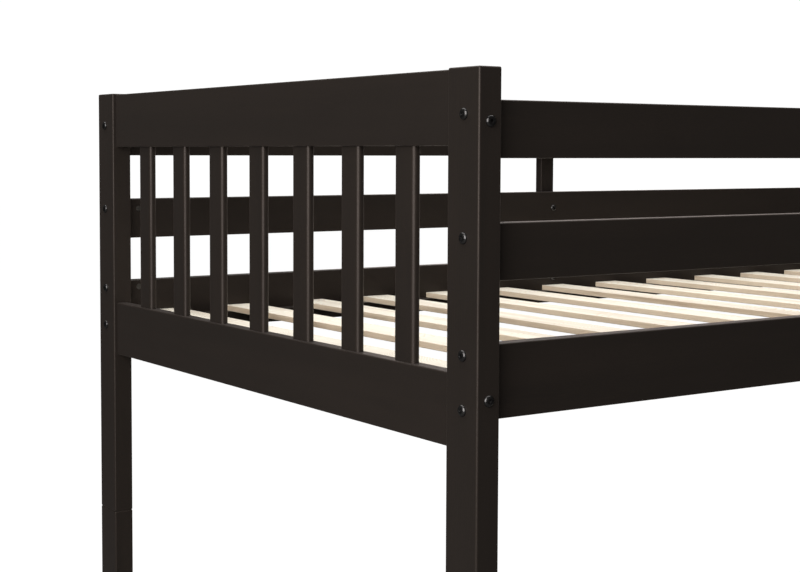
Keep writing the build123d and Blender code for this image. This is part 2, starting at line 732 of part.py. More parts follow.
def hook_screw_seats(hand):
    """Points on a hook's front leg where its screws' heads sit."""
    inner, outward = ladder_face(hand)
    x = inner + outward * LADDER_STILE_THICK / 2
    return [Vector(x, LADDER_BACK + HOOK_THICK, BED_RAIL_TOP - drop) for drop in HOOK_SCREW_DROPS]


def ladder_hook(hand):
    """Bent steel strip that hangs over the bed rail, screwed to the back of a ladder stile."""
    inner, outward = ladder_face(hand)
    slot_wide = BOARD_THICK + 2 * HOOK_RAIL_GAP
    wide = slot_wide + 2 * HOOK_THICK
    left = LADDER_BACK
    crest = BED_RAIL_TOP + HOOK_THICK
    outer = Pos(left + wide / 2, crest - HOOK_FRONT_LONG / 2) * Rectangle(wide, HOOK_FRONT_LONG)
    slot = Pos(left + wide / 2, BED_RAIL_TOP - HOOK_FRONT_LONG / 2) * Rectangle(slot_wide, HOOK_FRONT_LONG)
    back_cut = HOOK_FRONT_LONG - HOOK_BACK_LONG
    below = Pos(left + wide, crest - HOOK_BACK_LONG - back_cut / 2) * Rectangle(2 * HOOK_THICK, back_cut)
    outline = outer - slot - below
    crest_corners = outline.vertices().group_by(Axis.Y)[-1]
    outline = fillet(crest_corners, HOOK_OUTER_ROUND)
    inner_corners = outline.vertices().filter_by(lambda v: abs(v.Y - BED_RAIL_TOP) < HOOK_INNER_ROUND / 2)
    outline = fillet(inner_corners, HOOK_INNER_ROUND)
    x = inner + outward * LADDER_STILE_THICK / 2 - HOOK_WIDE / 2
    strip = Plane(origin=(x, 0, 0), x_dir=(0, 1, 0), z_dir=(1, 0, 0)).location * extrude(outline, HOOK_WIDE)
    cuts = [screw_hole(seat, Vector(0, -1, 0), SCREW_LONG) for seat in hook_screw_seats(hand)]
    return drilled(strip, cuts)


def ladder_hooks():
    """Both hooks."""
    return group(ladder_hook(hand) for hand in ENDS)


def hook_screws():
    """Countersunk screws through the hooks into the ladder stiles."""
    seats = [seat for hand in ENDS for seat in hook_screw_seats(hand)]
    return group(screw(seat, Vector(0, -1, 0), SCREW_LONG) for seat in seats)


# ---------------------------------------------------------------- assembly
def bunk_nodes(bunk):
    """Every node that both bunks have."""
    nodes = {}
    for side in SIDES:
        nodes[f"{bunk}_bed_rail_{side}"] = bed_rail(bunk, side)
        nodes[f"{bunk}_slat_ledge_{side}"] = slat_ledge(bunk, side)
        for end in ENDS:
            nodes[f"{bunk}_post_{side}_{end}"] = post(bunk, side, end)
    for end in ENDS:
        top = (TOP_RAIL_DROP, TOP_RAIL_BOLT_DROP, TOP_RAIL_DOWEL_DROP, "bottom")
        bottom = (BOTTOM_RAIL_DROP, BOTTOM_RAIL_BOLT_DROP, BOTTOM_RAIL_DOWEL_DROP, "top")
        nodes[f"{bunk}_end_top_rail_{end}"] = end_rail(bunk, end, *top)
        nodes[f"{bunk}_end_bottom_rail_{end}"] = end_rail(bunk, end, *bottom)
        nodes[f"{bunk}_end_slats_{end}"] = end_slats(bunk, end)
    nodes[f"{bunk}_bed_slats"] = bed_slats(bunk)
    nodes[f"{bunk}_side_rail_bolts"] = side_rail_bolts(bunk)
    nodes[f"{bunk}_end_rail_bolts"] = end_rail_bolts(bunk)
    nodes[f"{bunk}_barrel_nuts"] = barrel_nuts(bunk)
    nodes[f"{bunk}_rail_dowels"] = rail_dowels(bunk)
    nodes[f"{bunk}_base_screws"] = base_screws(bunk)
    return nodes


def guard_nodes():
    """Guard rails and their stiles, which only the upper bunk has."""
    nodes = {name: guard_stile(name) for name in STILE_CENTRES}
    for side in SIDES:
        for level in guard_drops():
            nodes[f"guard_rail_{level}_{side}"] = guard_rail(side, level)
    nodes["guard_stile_bolts"] = guard_stile_bolts()
    return nodes


def ladder_nodes():
    """Every node of the ladder."""
    nodes = {f"ladder_stile_{hand}": ladder_stile(hand) for hand in ENDS}
    for index, z in enumerate(rung_heights(), start=1):
        nodes[f"ladder_rung_{index}"] = ladder_rung(z)
    nodes["ladder_hooks"] = ladder_hooks()
    nodes["ladder_hook_screws"] = hook_screws()
    nodes["ladder_rung_bolts"] = rung_bolts()
    nodes["ladder_rung_nuts"] = rung_nuts()
    nodes["ladder_rung_dowels"] = rung_dowels()
    return nodes


def write_nodes(nodes):
    """Write each node to its own file, moved to the reference point."""
    os.makedirs("parts", exist_ok=True)
    for name, shape in nodes.items():
        export_step(TO_REFERENCE * shape, f"parts/{name}.step")


write_nodes(bunk_nodes("lower"))
write_nodes(bunk_nodes("upper"))
write_nodes({"stacking_pins": stacking_pins()})
write_nodes(guard_nodes())
write_nodes(ladder_nodes())
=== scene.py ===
import logging
import math
from collections.abc import Callable, Iterable
from dataclasses import dataclass, field
from enum import Enum

import bmesh
import bpy
from mathutils import Matrix, Vector


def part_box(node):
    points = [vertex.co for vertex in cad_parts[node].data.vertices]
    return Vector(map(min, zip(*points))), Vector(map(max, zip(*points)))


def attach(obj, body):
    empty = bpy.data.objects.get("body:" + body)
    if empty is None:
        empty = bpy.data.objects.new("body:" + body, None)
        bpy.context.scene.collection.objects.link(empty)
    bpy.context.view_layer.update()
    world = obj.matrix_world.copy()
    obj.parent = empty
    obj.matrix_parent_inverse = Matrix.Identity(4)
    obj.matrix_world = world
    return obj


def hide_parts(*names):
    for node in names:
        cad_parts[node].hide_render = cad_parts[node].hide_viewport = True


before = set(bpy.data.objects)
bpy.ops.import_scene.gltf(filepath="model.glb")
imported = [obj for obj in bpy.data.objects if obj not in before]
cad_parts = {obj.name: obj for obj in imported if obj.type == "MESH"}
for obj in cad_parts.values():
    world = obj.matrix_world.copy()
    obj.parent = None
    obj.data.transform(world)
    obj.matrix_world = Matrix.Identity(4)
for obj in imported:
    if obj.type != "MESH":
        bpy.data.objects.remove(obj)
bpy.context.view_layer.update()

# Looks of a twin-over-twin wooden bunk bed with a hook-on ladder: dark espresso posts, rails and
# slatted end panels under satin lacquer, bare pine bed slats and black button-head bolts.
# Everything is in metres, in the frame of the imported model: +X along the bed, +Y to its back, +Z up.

LOG = logging.getLogger("bunk_bed")
MM = 0.001
Colour = tuple[float, float, float]


class Grain(Enum):
    """Direction that a board's grain runs in, with the turn that brings it onto X."""

    ALONG_LENGTH = (0.0, 0.0, 0.0)
    ALONG_WIDTH = (0.0, 0.0, -math.pi / 2)
    ALONG_HEIGHT = (0.0, math.pi / 2, 0.0)


class Body(Enum):
    """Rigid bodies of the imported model."""

    LOWER = "lower_bunk"
    UPPER = "upper_bunk"
    LADDER = "ladder"


class Slot(Enum):
    """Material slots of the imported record."""

    ESPRESSO = "espresso_wood"
    PINE = "pine_slats"
    BOLTS = "black_bolts"
    ZINC = "zinc_fixings"
    BEECH = "beech_dowels"
    STEEL = "steel_hooks_and_pins"


# ---------------------------------------------------------------- node trees
class Wiring:
    """Adds and links nodes in one node tree, left to right."""

    STEP = 190.0
    COLOUR_MIX_INPUTS = (0, 6, 7)
    COLOUR_MIX_OUTPUT = 2

    def __init__(self, tree: bpy.types.NodeTree) -> None:
        """Start on a tree and empty it.

        Args:
            tree: Shader or geometry node tree to fill.
        """
        self.tree = tree
        self.tree.nodes.clear()
        self._column = 0

    def add(self, kind: str, **settings: object) -> bpy.types.Node:
        """Add one node.

        Args:
            kind: Type name of the node.
            **settings: Properties of the node, set by name.

        Returns:
            The new node.
        """
        node = self.tree.nodes.new(kind)
        node.location = (self._column * self.STEP, 0.0)
        self._column += 1
        for name, value in settings.items():
            setattr(node, name, value)
        return node

    def feed(self, node: bpy.types.Node, **inputs: object) -> bpy.types.Node:
        """Link or set inputs of a node; a name's underscores stand for spaces.

        Args:
            node: Node whose inputs are fed.
            **inputs: A socket to link from, or a plain value to set.

        Returns:
            The same node.
        """
        for name, source in inputs.items():
            label = name.replace("_", " ")
            socket = next(item for item in node.inputs if item.name == label and item.enabled)
            self.join(source, socket)
        return node

    def join(self, source: object, socket: bpy.types.NodeSocket) -> None:
        """Link a socket to an input, or set the input to a plain value.

        Args:
            source: Output socket, or a value.
            socket: Input socket that takes it.
        """
        if isinstance(source, bpy.types.NodeSocket):
            self.tree.links.new(source, socket)
        else:
            socket.default_value = source

    def maths(self, operation: str, first: object, second: object = 0.0,
              clamp: bool = False) -> bpy.types.NodeSocket:
        """Scalar maths on two sockets or numbers.

        Args:
            operation: Name of the operation.
            first: First socket or number.
            second: Second socket or number.
            clamp: Whether to keep the result between 0 and 1.

        Returns:
            The result's socket.
        """
        node = self.add("ShaderNodeMath", operation=operation, use_clamp=clamp)
        self.join(first, node.inputs[0])
        self.join(second, node.inputs[1])
        return node.outputs[0]

    def scaled(self, value: object, factor: float, offset: float) -> bpy.types.NodeSocket:
        """A value times a factor, plus an offset.

        Args:
            value: Socket to scale.
            factor: What it is multiplied by.
            offset: What is added.

        Returns:
            The result's socket.
        """
        node = self.add("ShaderNodeMath", operation="MULTIPLY_ADD")
        for socket, source in zip(node.inputs, (value, factor, offset)):
            self.join(source, socket)
        return node.outputs[0]

    def vector_maths(self, operation: str, first: object, second: object) -> bpy.types.NodeSocket:
        """Vector maths on two sockets or vectors.

        Args:
            operation: Name of the operation.
            first: First socket or vector.
            second: Second socket or vector.

        Returns:
            The vector result's socket.
        """
        node = self.add("ShaderNodeVectorMath", operation=operation)
        self.join(first, node.inputs[0])
        self.join(second, node.inputs[1])
        return node.outputs[0]

    def remap(self, value: object, low: float, high: float,
              to_low: float, to_high: float) -> bpy.types.NodeSocket:
        """Stretch a value smoothly from one range to another.

        Args:
            value: Socket to remap.
            low: Value that becomes to_low.
            high: Value that becomes to_high.
            to_low: Result at and below low.
            to_high: Result at and above high.

        Returns:
            The remapped socket.
        """
        node = self.add("ShaderNodeMapRange", interpolation_type="SMOOTHSTEP")
        for socket, source in zip(node.inputs, (value, low, high, to_low, to_high)):
            self.join(source, socket)
        return node.outputs[0]

    def noise(self, vector: object, scale: float, detail: float, seed: object,
              roughness: float = 0.5) -> bpy.types.NodeSocket:
        """Four-dimensional noise between 0 and 1.

        Args:
            vector: Coordinates.
            scale: Cells per metre.
            detail: Octaves of finer noise.
            seed: Fourth coordinate.
            roughness: Weight of the finer octaves.

        Returns:
            The noise value's socket.
        """
        node = self.add("ShaderNodeTexNoise", noise_dimensions="4D")
        self.feed(node, Vector=vector, W=seed, Scale=scale, Detail=detail, Roughness=roughness)
        return node.outputs[0]

    def blend(self, factor: object, first: object, second: object) -> bpy.types.NodeSocket:
        """Mix two colours.

        Args:
            factor: 0 for the first colour, 1 for the second.
            first: First colour or socket.
            second: Second colour or socket.

        Returns:
            The mixed colour's socket.
        """
        node = self.add("ShaderNodeMix", data_type="RGBA")
        for index, source in zip(self.COLOUR_MIX_INPUTS, (factor, first, second)):
            self.join(opaque(source), node.inputs[index])
        return node.outputs[self.COLOUR_MIX_OUTPUT]


def opaque(colour: object) -> object:
    """A plain colour with its alpha added; anything else is returned as it is."""
    return (*colour, 1.0) if isinstance(colour, tuple) and len(colour) == 3 else colour


def new_group(kind: str, name: str, inputs: Iterable[tuple], outputs: Iterable[tuple]) -> bpy.types.NodeTree:
    """Make an empty node group with named sockets.

    Args:
        kind: Type of node tree.
        name: Name of the group.
        inputs: Socket name, socket type and default value of each input.
        outputs: Socket name and socket type of each output.

    Returns:
        The new group.
    """
    group = bpy.data.node_groups.new(name, kind)
    for label, socket_type, default in inputs:
        socket = group.interface.new_socket(label, in_out="INPUT", socket_type=socket_type)
        if default is not None:
            socket.default_value = default
    for label, socket_type in outputs:
        group.interface.new_socket(label, in_out="OUTPUT", socket_type=socket_type)
    return group


# ---------------------------------------------------------------- shader groups
class EffectLibrary:
    """Shader node groups that several finishes share, each built once."""

    def __init__(self) -> None:
        """Build every shared effect."""
        self.wood_figure = self._build_wood_figure()
        self.lacquer_skin = self._build_lacquer_skin()
        self.arris_rub = self._build_arris_rub()
        self.metal_speckle = self._build_metal_speckle()

    @staticmethod
    def _build_wood_figure() -> bpy.types.NodeTree:
        """Growth rings, fine pores and knots of solid wood whose grain runs along X.

        Returns:
            Group with the masks Rings, Pores, Knots and Tone.
        """
        along_grain, along_knots, along_pores = (0.07, 1.0, 1.0), (0.55, 1.0, 1.0), (0.035, 1.0, 1.0)
        across_only = (0.0, 1.0, 1.0)
        seed_spread = 37.0
        knots_from, knots_fully, knots_largest = 0.52, 0.6, 0.75
        smallest_knot, largest_knot, knot_rim = 0.02, 0.075, 0.012
        ring_pull, pull_reach = 0.012, 0.34
        heart_at, heart_span, heart_least, heart_slant = (3.1, 5.7, 1.3), 0.30, -0.10, 0.8
        late_wood_power, ring_end = 2.6, 0.93
        wander_cells, heart_cells, tone_cells, size_cells, pore_cells = 9.0, 7.0, 22.0, 40.0, 900.0
        pore_low, pore_high = 0.45, 0.72

        group = new_group(
            "ShaderNodeTree", "wood_figure",
            [("Vector", "NodeSocketVector", None), ("Board Seed", "NodeSocketFloat", 0.0),
             ("Ring Spacing", "NodeSocketFloat", 0.004), ("Wander", "NodeSocketFloat", 0.012),
             ("Knot Density", "NodeSocketFloat", 0.0)],
            [("Rings", "NodeSocketFloat"), ("Pores", "NodeSocketFloat"), ("Knots", "NodeSocketFloat"),
             ("Tone", "NodeSocketFloat")])
        wires = Wiring(group)
        given = wires.add("NodeGroupInput").outputs
        seed = wires.maths("MULTIPLY", given["Board Seed"], seed_spread)

        cells = wires.add("ShaderNodeTexVoronoi", voronoi_dimensions="4D", feature="F1")
        knot_space = wires.vector_maths("MULTIPLY", given["Vector"], along_knots)
        wires.feed(cells, Vector=knot_space, W=seed, Scale=given["Knot Density"], Randomness=1.0)
        near = cells.outputs["Distance"]
        size = wires.noise(cells.outputs["Position"], size_cells, 0.0, seed)
        chosen = wires.remap(size, knots_from, knots_fully, 0.0, 1.0)
        pull = wires.maths("MULTIPLY", wires.remap(near, 0.0, pull_reach, ring_pull, 0.0), chosen)
        radius = wires.remap(size, knots_from, knots_largest, smallest_knot, largest_knot)
        past_rim = wires.maths("SUBTRACT", near, radius)
        knots = wires.maths("MULTIPLY", wires.remap(past_rim, -knot_rim / 2, knot_rim, 1.0, 0.0), chosen)

        stretched = wires.vector_maths("MULTIPLY", given["Vector"], along_grain)
        wander = wires.noise(stretched, wander_cells, 3.0, seed)
        drift = wires.maths("MULTIPLY", wires.maths("SUBTRACT", wander, 0.5), given["Wander"])
        heart_far = wires.scaled(wires.noise(heart_at, heart_cells, 0.0, seed), heart_span, heart_least)
        heart = wires.add("ShaderNodeCombineXYZ")
        wires.feed(heart, Y=wires.maths("MULTIPLY", heart_far, heart_slant), Z=heart_far)
        flat = wires.vector_maths("MULTIPLY", given["Vector"], across_only)
        from_heart = wires.add("ShaderNodeVectorMath", operation="LENGTH")
        wires.join(wires.vector_maths("ADD", flat, heart.outputs[0]), from_heart.inputs[0])
        grown_to = wires.maths("ADD", wires.maths("ADD", from_heart.outputs["Value"], drift), pull)
        saw = wires.maths("FRACT", wires.maths("DIVIDE", grown_to, given["Ring Spacing"]))
        fade = wires.remap(saw, ring_end, 1.0, 1.0, 0.0)
        rings = wires.maths("MULTIPLY", wires.maths("POWER", saw, late_wood_power), fade)

        pore_space = wires.vector_maths("MULTIPLY", given["Vector"], along_pores)
        pores = wires.remap(wires.noise(pore_space, pore_cells, 2.0, seed), pore_low, pore_high, 0.0, 1.0)
        tone = wires.noise(stretched, tone_cells, 4.0, seed, 0.6)
        wires.feed(wires.add("NodeGroupOutput"), Rings=rings, Pores=pores, Knots=knots, Tone=tone)
        return group

    @staticmethod
    def _build_lacquer_skin() -> bpy.types.NodeTree:
        """Fine waviness of a sprayed lacquer film over wood pores.

        Returns:
            Group with Height for a bump and a Gloss variation around 0.
        """
        peel_cells, peel_height, peel_seed = 320.0, 0.5, 0.0
        cloud_cells, cloud_gloss, cloud_seed = 14.0, 0.16, 4.0
        group = new_group(
            "ShaderNodeTree", "lacquer_skin",
            [("Vector", "NodeSocketVector", None), ("Pores", "NodeSocketFloat", 0.0),
             ("Fill", "NodeSocketFloat", 0.6)],
            [("Height", "NodeSocketFloat"), ("Gloss", "NodeSocketFloat")])
        wires = Wiring(group)
        given = wires.add("NodeGroupInput").outputs
        peel = wires.noise(given["Vector"], peel_cells, 1.0, peel_seed)
        open_pores = wires.maths("MULTIPLY", given["Pores"], wires.maths("SUBTRACT", 1.0, given["Fill"]))
        height = wires.maths("SUBTRACT", wires.maths("MULTIPLY", peel, peel_height), open_pores)
        clouds = wires.noise(given["Vector"], cloud_cells, 3.0, cloud_seed)
        gloss = wires.maths("MULTIPLY", wires.maths("SUBTRACT", clouds, 0.5), cloud_gloss)
        wires.feed(wires.add("NodeGroupOutput"), Height=height, Gloss=gloss)
        return group

    @staticmethod
    def _build_arris_rub() -> bpy.types.NodeTree:
        """Mask of rounded arrises where the colour coat is thin, broken up along their length.

        Returns:
            Group with the mask Rub.
        """
        break_cells, break_low, break_high, least_rub, break_seed = 60.0, 0.35, 0.7, 0.35, 2.0
        group = new_group(
            "ShaderNodeTree", "arris_rub",
            [("Vector", "NodeSocketVector", None), ("Strength", "NodeSocketFloat", 0.5)],
            [("Rub", "NodeSocketFloat")])
        wires = Wiring(group)
        given = wires.add("NodeGroupInput").outputs
        arris = wires.add("ShaderNodeAttribute", attribute_type="GEOMETRY", attribute_name="arris")
        breaks = wires.noise(given["Vector"], break_cells, 4.0, break_seed, 0.7)
        broken = wires.remap(breaks, break_low, break_high, least_rub, 1.0)
        rub = wires.maths("MULTIPLY", arris.outputs["Fac"], broken)
        wires.feed(wires.add("NodeGroupOutput"), Rub=wires.maths("MULTIPLY", rub, given["Strength"]))
        return group

    @staticmethod
    def _build_metal_speckle() -> bpy.types.NodeTree:
        """Fine mottling and handling marks of plated or blackened steel.

        Returns:
            Group with the mask Mottle and a bump Height.
        """
        mottle_cells, mottle_low, mottle_high, mottle_seed = 180.0, 0.3, 0.7, 1.0
        group = new_group(
            "ShaderNodeTree", "metal_speckle",
            [("Vector", "NodeSocketVector", None), ("Cells", "NodeSocketFloat", 900.0)],
            [("Mottle", "NodeSocketFloat"), ("Height", "NodeSocketFloat")])
        wires = Wiring(group)
        given = wires.add("NodeGroupInput").outputs
        fine = wires.add("ShaderNodeTexNoise", noise_dimensions="3D")
        wires.feed(fine, Vector=given["Vector"], Scale=given["Cells"], Detail=3.0)
        spots = wires.noise(given["Vector"], mottle_cells, 2.0, mottle_seed)
        mottle = wires.remap(spots, mottle_low, mottle_high, 0.0, 1.0)
        wires.feed(wires.add("NodeGroupOutput"), Mottle=mottle, Height=fine.outputs[0])
        return group


# ---------------------------------------------------------------- finishes
def place_group(wires: Wiring, group: bpy.types.NodeTree, **inputs: object) -> bpy.types.bpy_prop_collection:
    """Put a shared effect into a material.

    Args:
        wires: The material's wiring.
        group: Shader node group to place.
        **inputs: Its inputs by name, with underscores for spaces.

    Returns:
        The placed group's outputs.
    """
    node = wires.add("ShaderNodeGroup")
    node.node_tree = group
    return wires.feed(node, **inputs).outputs


def new_material(name: str) -> tuple[bpy.types.Material, Wiring, bpy.types.Node]:
    """Make a material with a Principled shader joined to its output.

    Args:
        name: Name of the material.

    Returns:
        The material, its wiring and the Principled node.
    """
    material = bpy.data.materials.new(name)
    material.use_nodes = True
    wires = Wiring(material.node_tree)
    shader = wires.add("ShaderNodeBsdfPrincipled")
    wires.feed(wires.add("ShaderNodeOutputMaterial"), Surface=shader.outputs[0])
    return material, wires, shader


def add_bump(wires: Wiring, shader: bpy.types.Node, height: bpy.types.NodeSocket, depth: float) -> None:
    """Feed a height into the shader's normal.

    Args:
        wires: The material's wiring.
        shader: Principled node that takes the normal.
        height: Height between 0 and 1.
        depth: Height of the relief in metres.
    """
    bump = wires.add("ShaderNodeBump")
    wires.feed(bump, Strength=1.0, Distance=depth, Height=height)
    wires.feed(shader, Normal=bump.outputs[0])


def board_coordinates(wires: Wiring, grain: Grain) -> tuple[bpy.types.NodeSocket, bpy.types.NodeSocket]:
    """Object coordinates turned so that the grain runs along X, and the board's own seed.

    Args:
        wires: The material's wiring.
        grain: Direction of the board's grain.

    Returns:
        The turned coordinates and the seed.
    """
    where = wires.add("ShaderNodeTexCoord")
    turn = wires.add("ShaderNodeMapping", vector_type="POINT")
    wires.feed(turn, Vector=where.outputs["Object"], Rotation=grain.value)
    seed = wires.add("ShaderNodeAttribute", attribute_type="GEOMETRY", attribute_name="board_seed")
    return turn.outputs[0], seed.outputs["Fac"]


@dataclass(frozen=True)
class EspressoLacquer:
    """Dark brown stain under satin lacquer, with the wood's figure faintly showing."""

    stain: Colour = (0.0136, 0.0112, 0.0096)
    streak: Colour = (0.0178, 0.0140, 0.0116)
    thin_coat: Colour = (0.0250, 0.0190, 0.0150)
    roughness: float = 0.40
    reflection: float = 0.28
    haze: float = 0.04
    film_tint: Colour = (1.0, 0.86, 0.80)
    haze_roughness: float = 0.45
    relief: float = 0.00006
    ring_spacing: float = 0.0065
    ring_wander: float = 0.03
    knot_density: float = 2.2
    ring_veil: float = 0.55
    tone_range: tuple[float, float] = (0.35, 0.7)
    tone_veil: float = 0.6
    arris_thinness: float = 0.4
    pore_fill: float = 0.55

    def build(self, effects: EffectLibrary, grain: Grain) -> bpy.types.Material:
        """Make the material for boards whose grain runs in one direction.

        Args:
            effects: Shared shader groups.
            grain: Direction of the grain.

        Returns:
            The finished material.
        """
        material, wires, shader = new_material(f"espresso_{grain.name.lower()}")
        place, seed = board_coordinates(wires, grain)
        figure = place_group(wires, effects.wood_figure, Vector=place, Board_Seed=seed,
                             Ring_Spacing=self.ring_spacing, Wander=self.ring_wander,
                             Knot_Density=self.knot_density)
        veil = wires.maths("MULTIPLY", figure["Rings"], self.ring_veil)
        clouds = wires.remap(figure["Tone"], *self.tone_range, 0.0, self.tone_veil)
        body = wires.blend(wires.maths("ADD", veil, clouds, clamp=True), self.stain, self.streak)
        rub = place_group(wires, effects.arris_rub, Vector=place, Strength=self.arris_thinness)["Rub"]
        wires.feed(shader, Base_Color=wires.blend(rub, body, self.thin_coat))
        skin = place_group(wires, effects.lacquer_skin, Vector=place, Pores=figure["Pores"],
                           Fill=self.pore_fill)
        wires.feed(shader, Roughness=wires.maths("ADD", skin["Gloss"], self.roughness), IOR=1.5)
        wires.feed(shader, Specular_IOR_Level=self.reflection, Specular_Tint=opaque(self.film_tint))
        wires.feed(shader, Sheen_Weight=self.haze, Sheen_Roughness=self.haze_roughness,
                   Sheen_Tint=opaque(self.film_tint))
        add_bump(wires, shader, skin["Height"], self.relief)
        return material


@dataclass(frozen=True)
class BarePine:
    """Planed, unfinished pine: cream wood, tan growth rings and a few small knots; upright faces are tanner
    and more streaked, partly the pine's own side colour and partly painted shade.
    """

    early: Colour = (0.92, 0.885, 0.775)
    # Colour of upright faces: the pine's own side colour with painted shade in it.
    side_tan_and_painted_shade: Colour = (0.95, 0.80, 0.61)
    late: Colour = (0.72, 0.55, 0.37)
    streak: Colour = (0.44, 0.31, 0.20)
    knot: Colour = (0.20, 0.105, 0.055)
    roughness: float = 0.62
    late_gloss: float = 0.08
    relief: float = 0.00012
    ring_spacing: float = 0.0045
    ring_wander: float = 0.02
    knot_density: float = 6.5
    ring_strength: float = 0.55
    tone_range: tuple[float, float] = (0.44, 0.70)
    streak_flat: float = 0.40
    upright_streak_and_painted_shade: float = 0.68

    def build(self, effects: EffectLibrary, grain: Grain) -> bpy.types.Material:
        """Make the material for slats whose grain runs in one direction.

        Args:
            effects: Shared shader groups.
            grain: Direction of the grain.

        Returns:
            The finished material.
        """
        material, wires, shader = new_material(f"pine_{grain.name.lower()}")
        place, seed = board_coordinates(wires, grain)
        figure = place_group(wires, effects.wood_figure, Vector=place, Board_Seed=seed,
                             Ring_Spacing=self.ring_spacing, Wander=self.ring_wander,
                             Knot_Density=self.knot_density)
        facing = wires.add("ShaderNodeAttribute", attribute_type="GEOMETRY", attribute_name="upright")
        upright = facing.outputs["Fac"]
        # Upright faces get the tanner side colour and heavier streaks: partly real pine colour, partly
        # painted shade on the sides.
        early = wires.blend(upright, self.early, self.side_tan_and_painted_shade)
        ringed = wires.blend(wires.maths("MULTIPLY", figure["Rings"], self.ring_strength), early, self.late)
        reach = wires.remap(upright, 0.2, 0.8, self.streak_flat, self.upright_streak_and_painted_shade)
        streaks = wires.maths("MULTIPLY", wires.remap(figure["Tone"], *self.tone_range, 0.0, 1.0), reach)
        streaked = wires.blend(streaks, ringed, self.streak)
        wires.feed(shader, Base_Color=wires.blend(figure["Knots"], streaked, self.knot))
        rough = wires.scaled(figure["Rings"], -self.late_gloss, self.roughness)
        wires.feed(shader, Roughness=rough, IOR=1.45)
        height = wires.maths("SUBTRACT", wires.maths("MULTIPLY", figure["Rings"], 0.5), figure["Pores"])
        add_bump(wires, shader, height, self.relief)
        return material


@dataclass(frozen=True)
class BareBeech:
    """Pale pinkish beech of the dowels, with short dark flecks."""

    wood: Colour = (0.60, 0.42, 0.27)
    fleck: Colour = (0.36, 0.21, 0.12)
    knot_density: float = 2.0
    roughness: float = 0.6
    relief: float = 0.00005

    def build(self, effects: EffectLibrary) -> bpy.types.Material:
        """Make the material.

        Args:
            effects: Shared shader groups.

        Returns:
            The finished material.
        """
        material, wires, shader = new_material("bare_beech")
        place, seed = board_coordinates(wires, Grain.ALONG_LENGTH)
        figure = place_group(wires, effects.wood_figure, Vector=place, Board_Seed=seed,
                             Knot_Density=self.knot_density)
        wood = wires.blend(figure["Pores"], self.wood, self.fleck)
        wires.feed(shader, Base_Color=wood, Roughness=self.roughness)
        add_bump(wires, shader, figure["Pores"], self.relief)
        return material


@dataclass(frozen=True)
class SteelFinish:
    """Plated, blackened or powder-coated steel."""

    name: str
    base: Colour
    worn: Colour
    metallic: float
    roughness: float
    rub: float
    relief: float = 0.00003
    mottle_colour: float = 0.25
    mottle_roughness: float = 0.12

    def build(self, effects: EffectLibrary) -> bpy.types.Material:
        """Make the material.

        Args:
            effects: Shared shader groups.

        Returns:
            The finished material.
        """
        material, wires, shader = new_material(self.name)
        where = wires.add("ShaderNodeTexCoord").outputs["Object"]
        speckle = place_group(wires, effects.metal_speckle, Vector=where)
        rub = place_group(wires, effects.arris_rub, Vector=where, Strength=self.rub)["Rub"]
        mottled = wires.maths("MULTIPLY", speckle["Mottle"], self.mottle_colour)
        body = wires.blend(mottled, self.base, self.worn)
        wires.feed(shader, Base_Color=wires.blend(rub, body, self.worn), Metallic=self.metallic)
        wires.feed(shader, Roughness=wires.scaled(speckle["Mottle"], self.mottle_roughness, self.roughness))
        add_bump(wires, shader, speckle["Height"], self.relief)
        return material


BLACK_OXIDE = SteelFinish("black_oxide", (0.026, 0.025, 0.026), (0.14, 0.137, 0.135), 0.9, 0.17, 0.4)
ZINC_PLATE = SteelFinish("zinc_plate", (0.115, 0.112, 0.108), (0.30, 0.295, 0.28), 1.0, 0.36, 0.3)
POWDER_COAT = SteelFinish("powder_coat", (0.020, 0.020, 0.021), (0.09, 0.09, 0.09), 0.0, 0.45, 0.25, 0.00008)


@dataclass
class Finishes:
    """Every material of the bed, built once."""

    effects: EffectLibrary = field(default_factory=EffectLibrary)
    espresso: dict[Grain, bpy.types.Material] = field(init=False)
    pine: bpy.types.Material = field(init=False)
    beech: bpy.types.Material = field(init=False)
    oxide: bpy.types.Material = field(init=False)
    zinc: bpy.types.Material = field(init=False)
    powder: bpy.types.Material = field(init=False)

    def __post_init__(self) -> None:
        """Build the materials from the shared effects."""
        lacquer = EspressoLacquer()
        self.espresso = {grain: lacquer.build(self.effects, grain) for grain in Grain}
        self.pine = BarePine().build(self.effects, Grain.ALONG_WIDTH)
        self.beech = BareBeech().build(self.effects)
        self.oxide = BLACK_OXIDE.build(self.effects)
        self.zinc = ZINC_PLATE.build(self.effects)
        self.powder = POWDER_COAT.build(self.effects)


# ---------------------------------------------------------------- mesh helpers
SHARP_TURN = math.radians(34.0)
SAME_PLANE_TURN = math.radians(0.3)
MERGE_DISTANCE = 2e-6
FLAT_LIMIT = 0.9985
GOLDEN_SHARE = 0.6180339887


def merged_copy(node: str) -> bmesh.types.BMesh:
    """Joined-up copy of a CAD node, its flat faces cleared of needless edges.

    Args:
        node: Name of the CAD node.

    Returns:
        A new bmesh, which the caller frees.
    """
    solid = bmesh.new()
    solid.from_mesh(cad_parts[node].data)
    bmesh.ops.remove_doubles(solid, verts=solid.verts, dist=MERGE_DISTANCE)
    bmesh.ops.dissolve_limit(solid, angle_limit=SAME_PLANE_TURN, verts=solid.verts, edges=solid.edges)
    return solid


def islands(solid: bmesh.types.BMesh) -> list[list[bmesh.types.BMVert]]:
    """Split a bmesh into its separate closed solids.

    Args:
        solid: Mesh of one or more solids.

    Returns:
        The vertices of each solid.
    """
    left = set(solid.verts)
    found = []
    while left:
        stack = [left.pop()]
        island = []
        while stack:
            vert = stack.pop()
            island.append(vert)
            beside = {edge.other_vert(vert) for edge in vert.link_edges} & left
            left -= beside
            stack.extend(beside)
        found.append(island)
    return sorted(found, key=lambda verts: tuple(round(value, 4) for value in centre_of(verts)))


def centre_of(verts: Iterable[bmesh.types.BMVert]) -> Vector:
    """Middle of the box around some vertices."""
    points = [vert.co for vert in verts]
    low = Vector(map(min, *points))
    high = Vector(map(max, *points))
    return (low + high) / 2


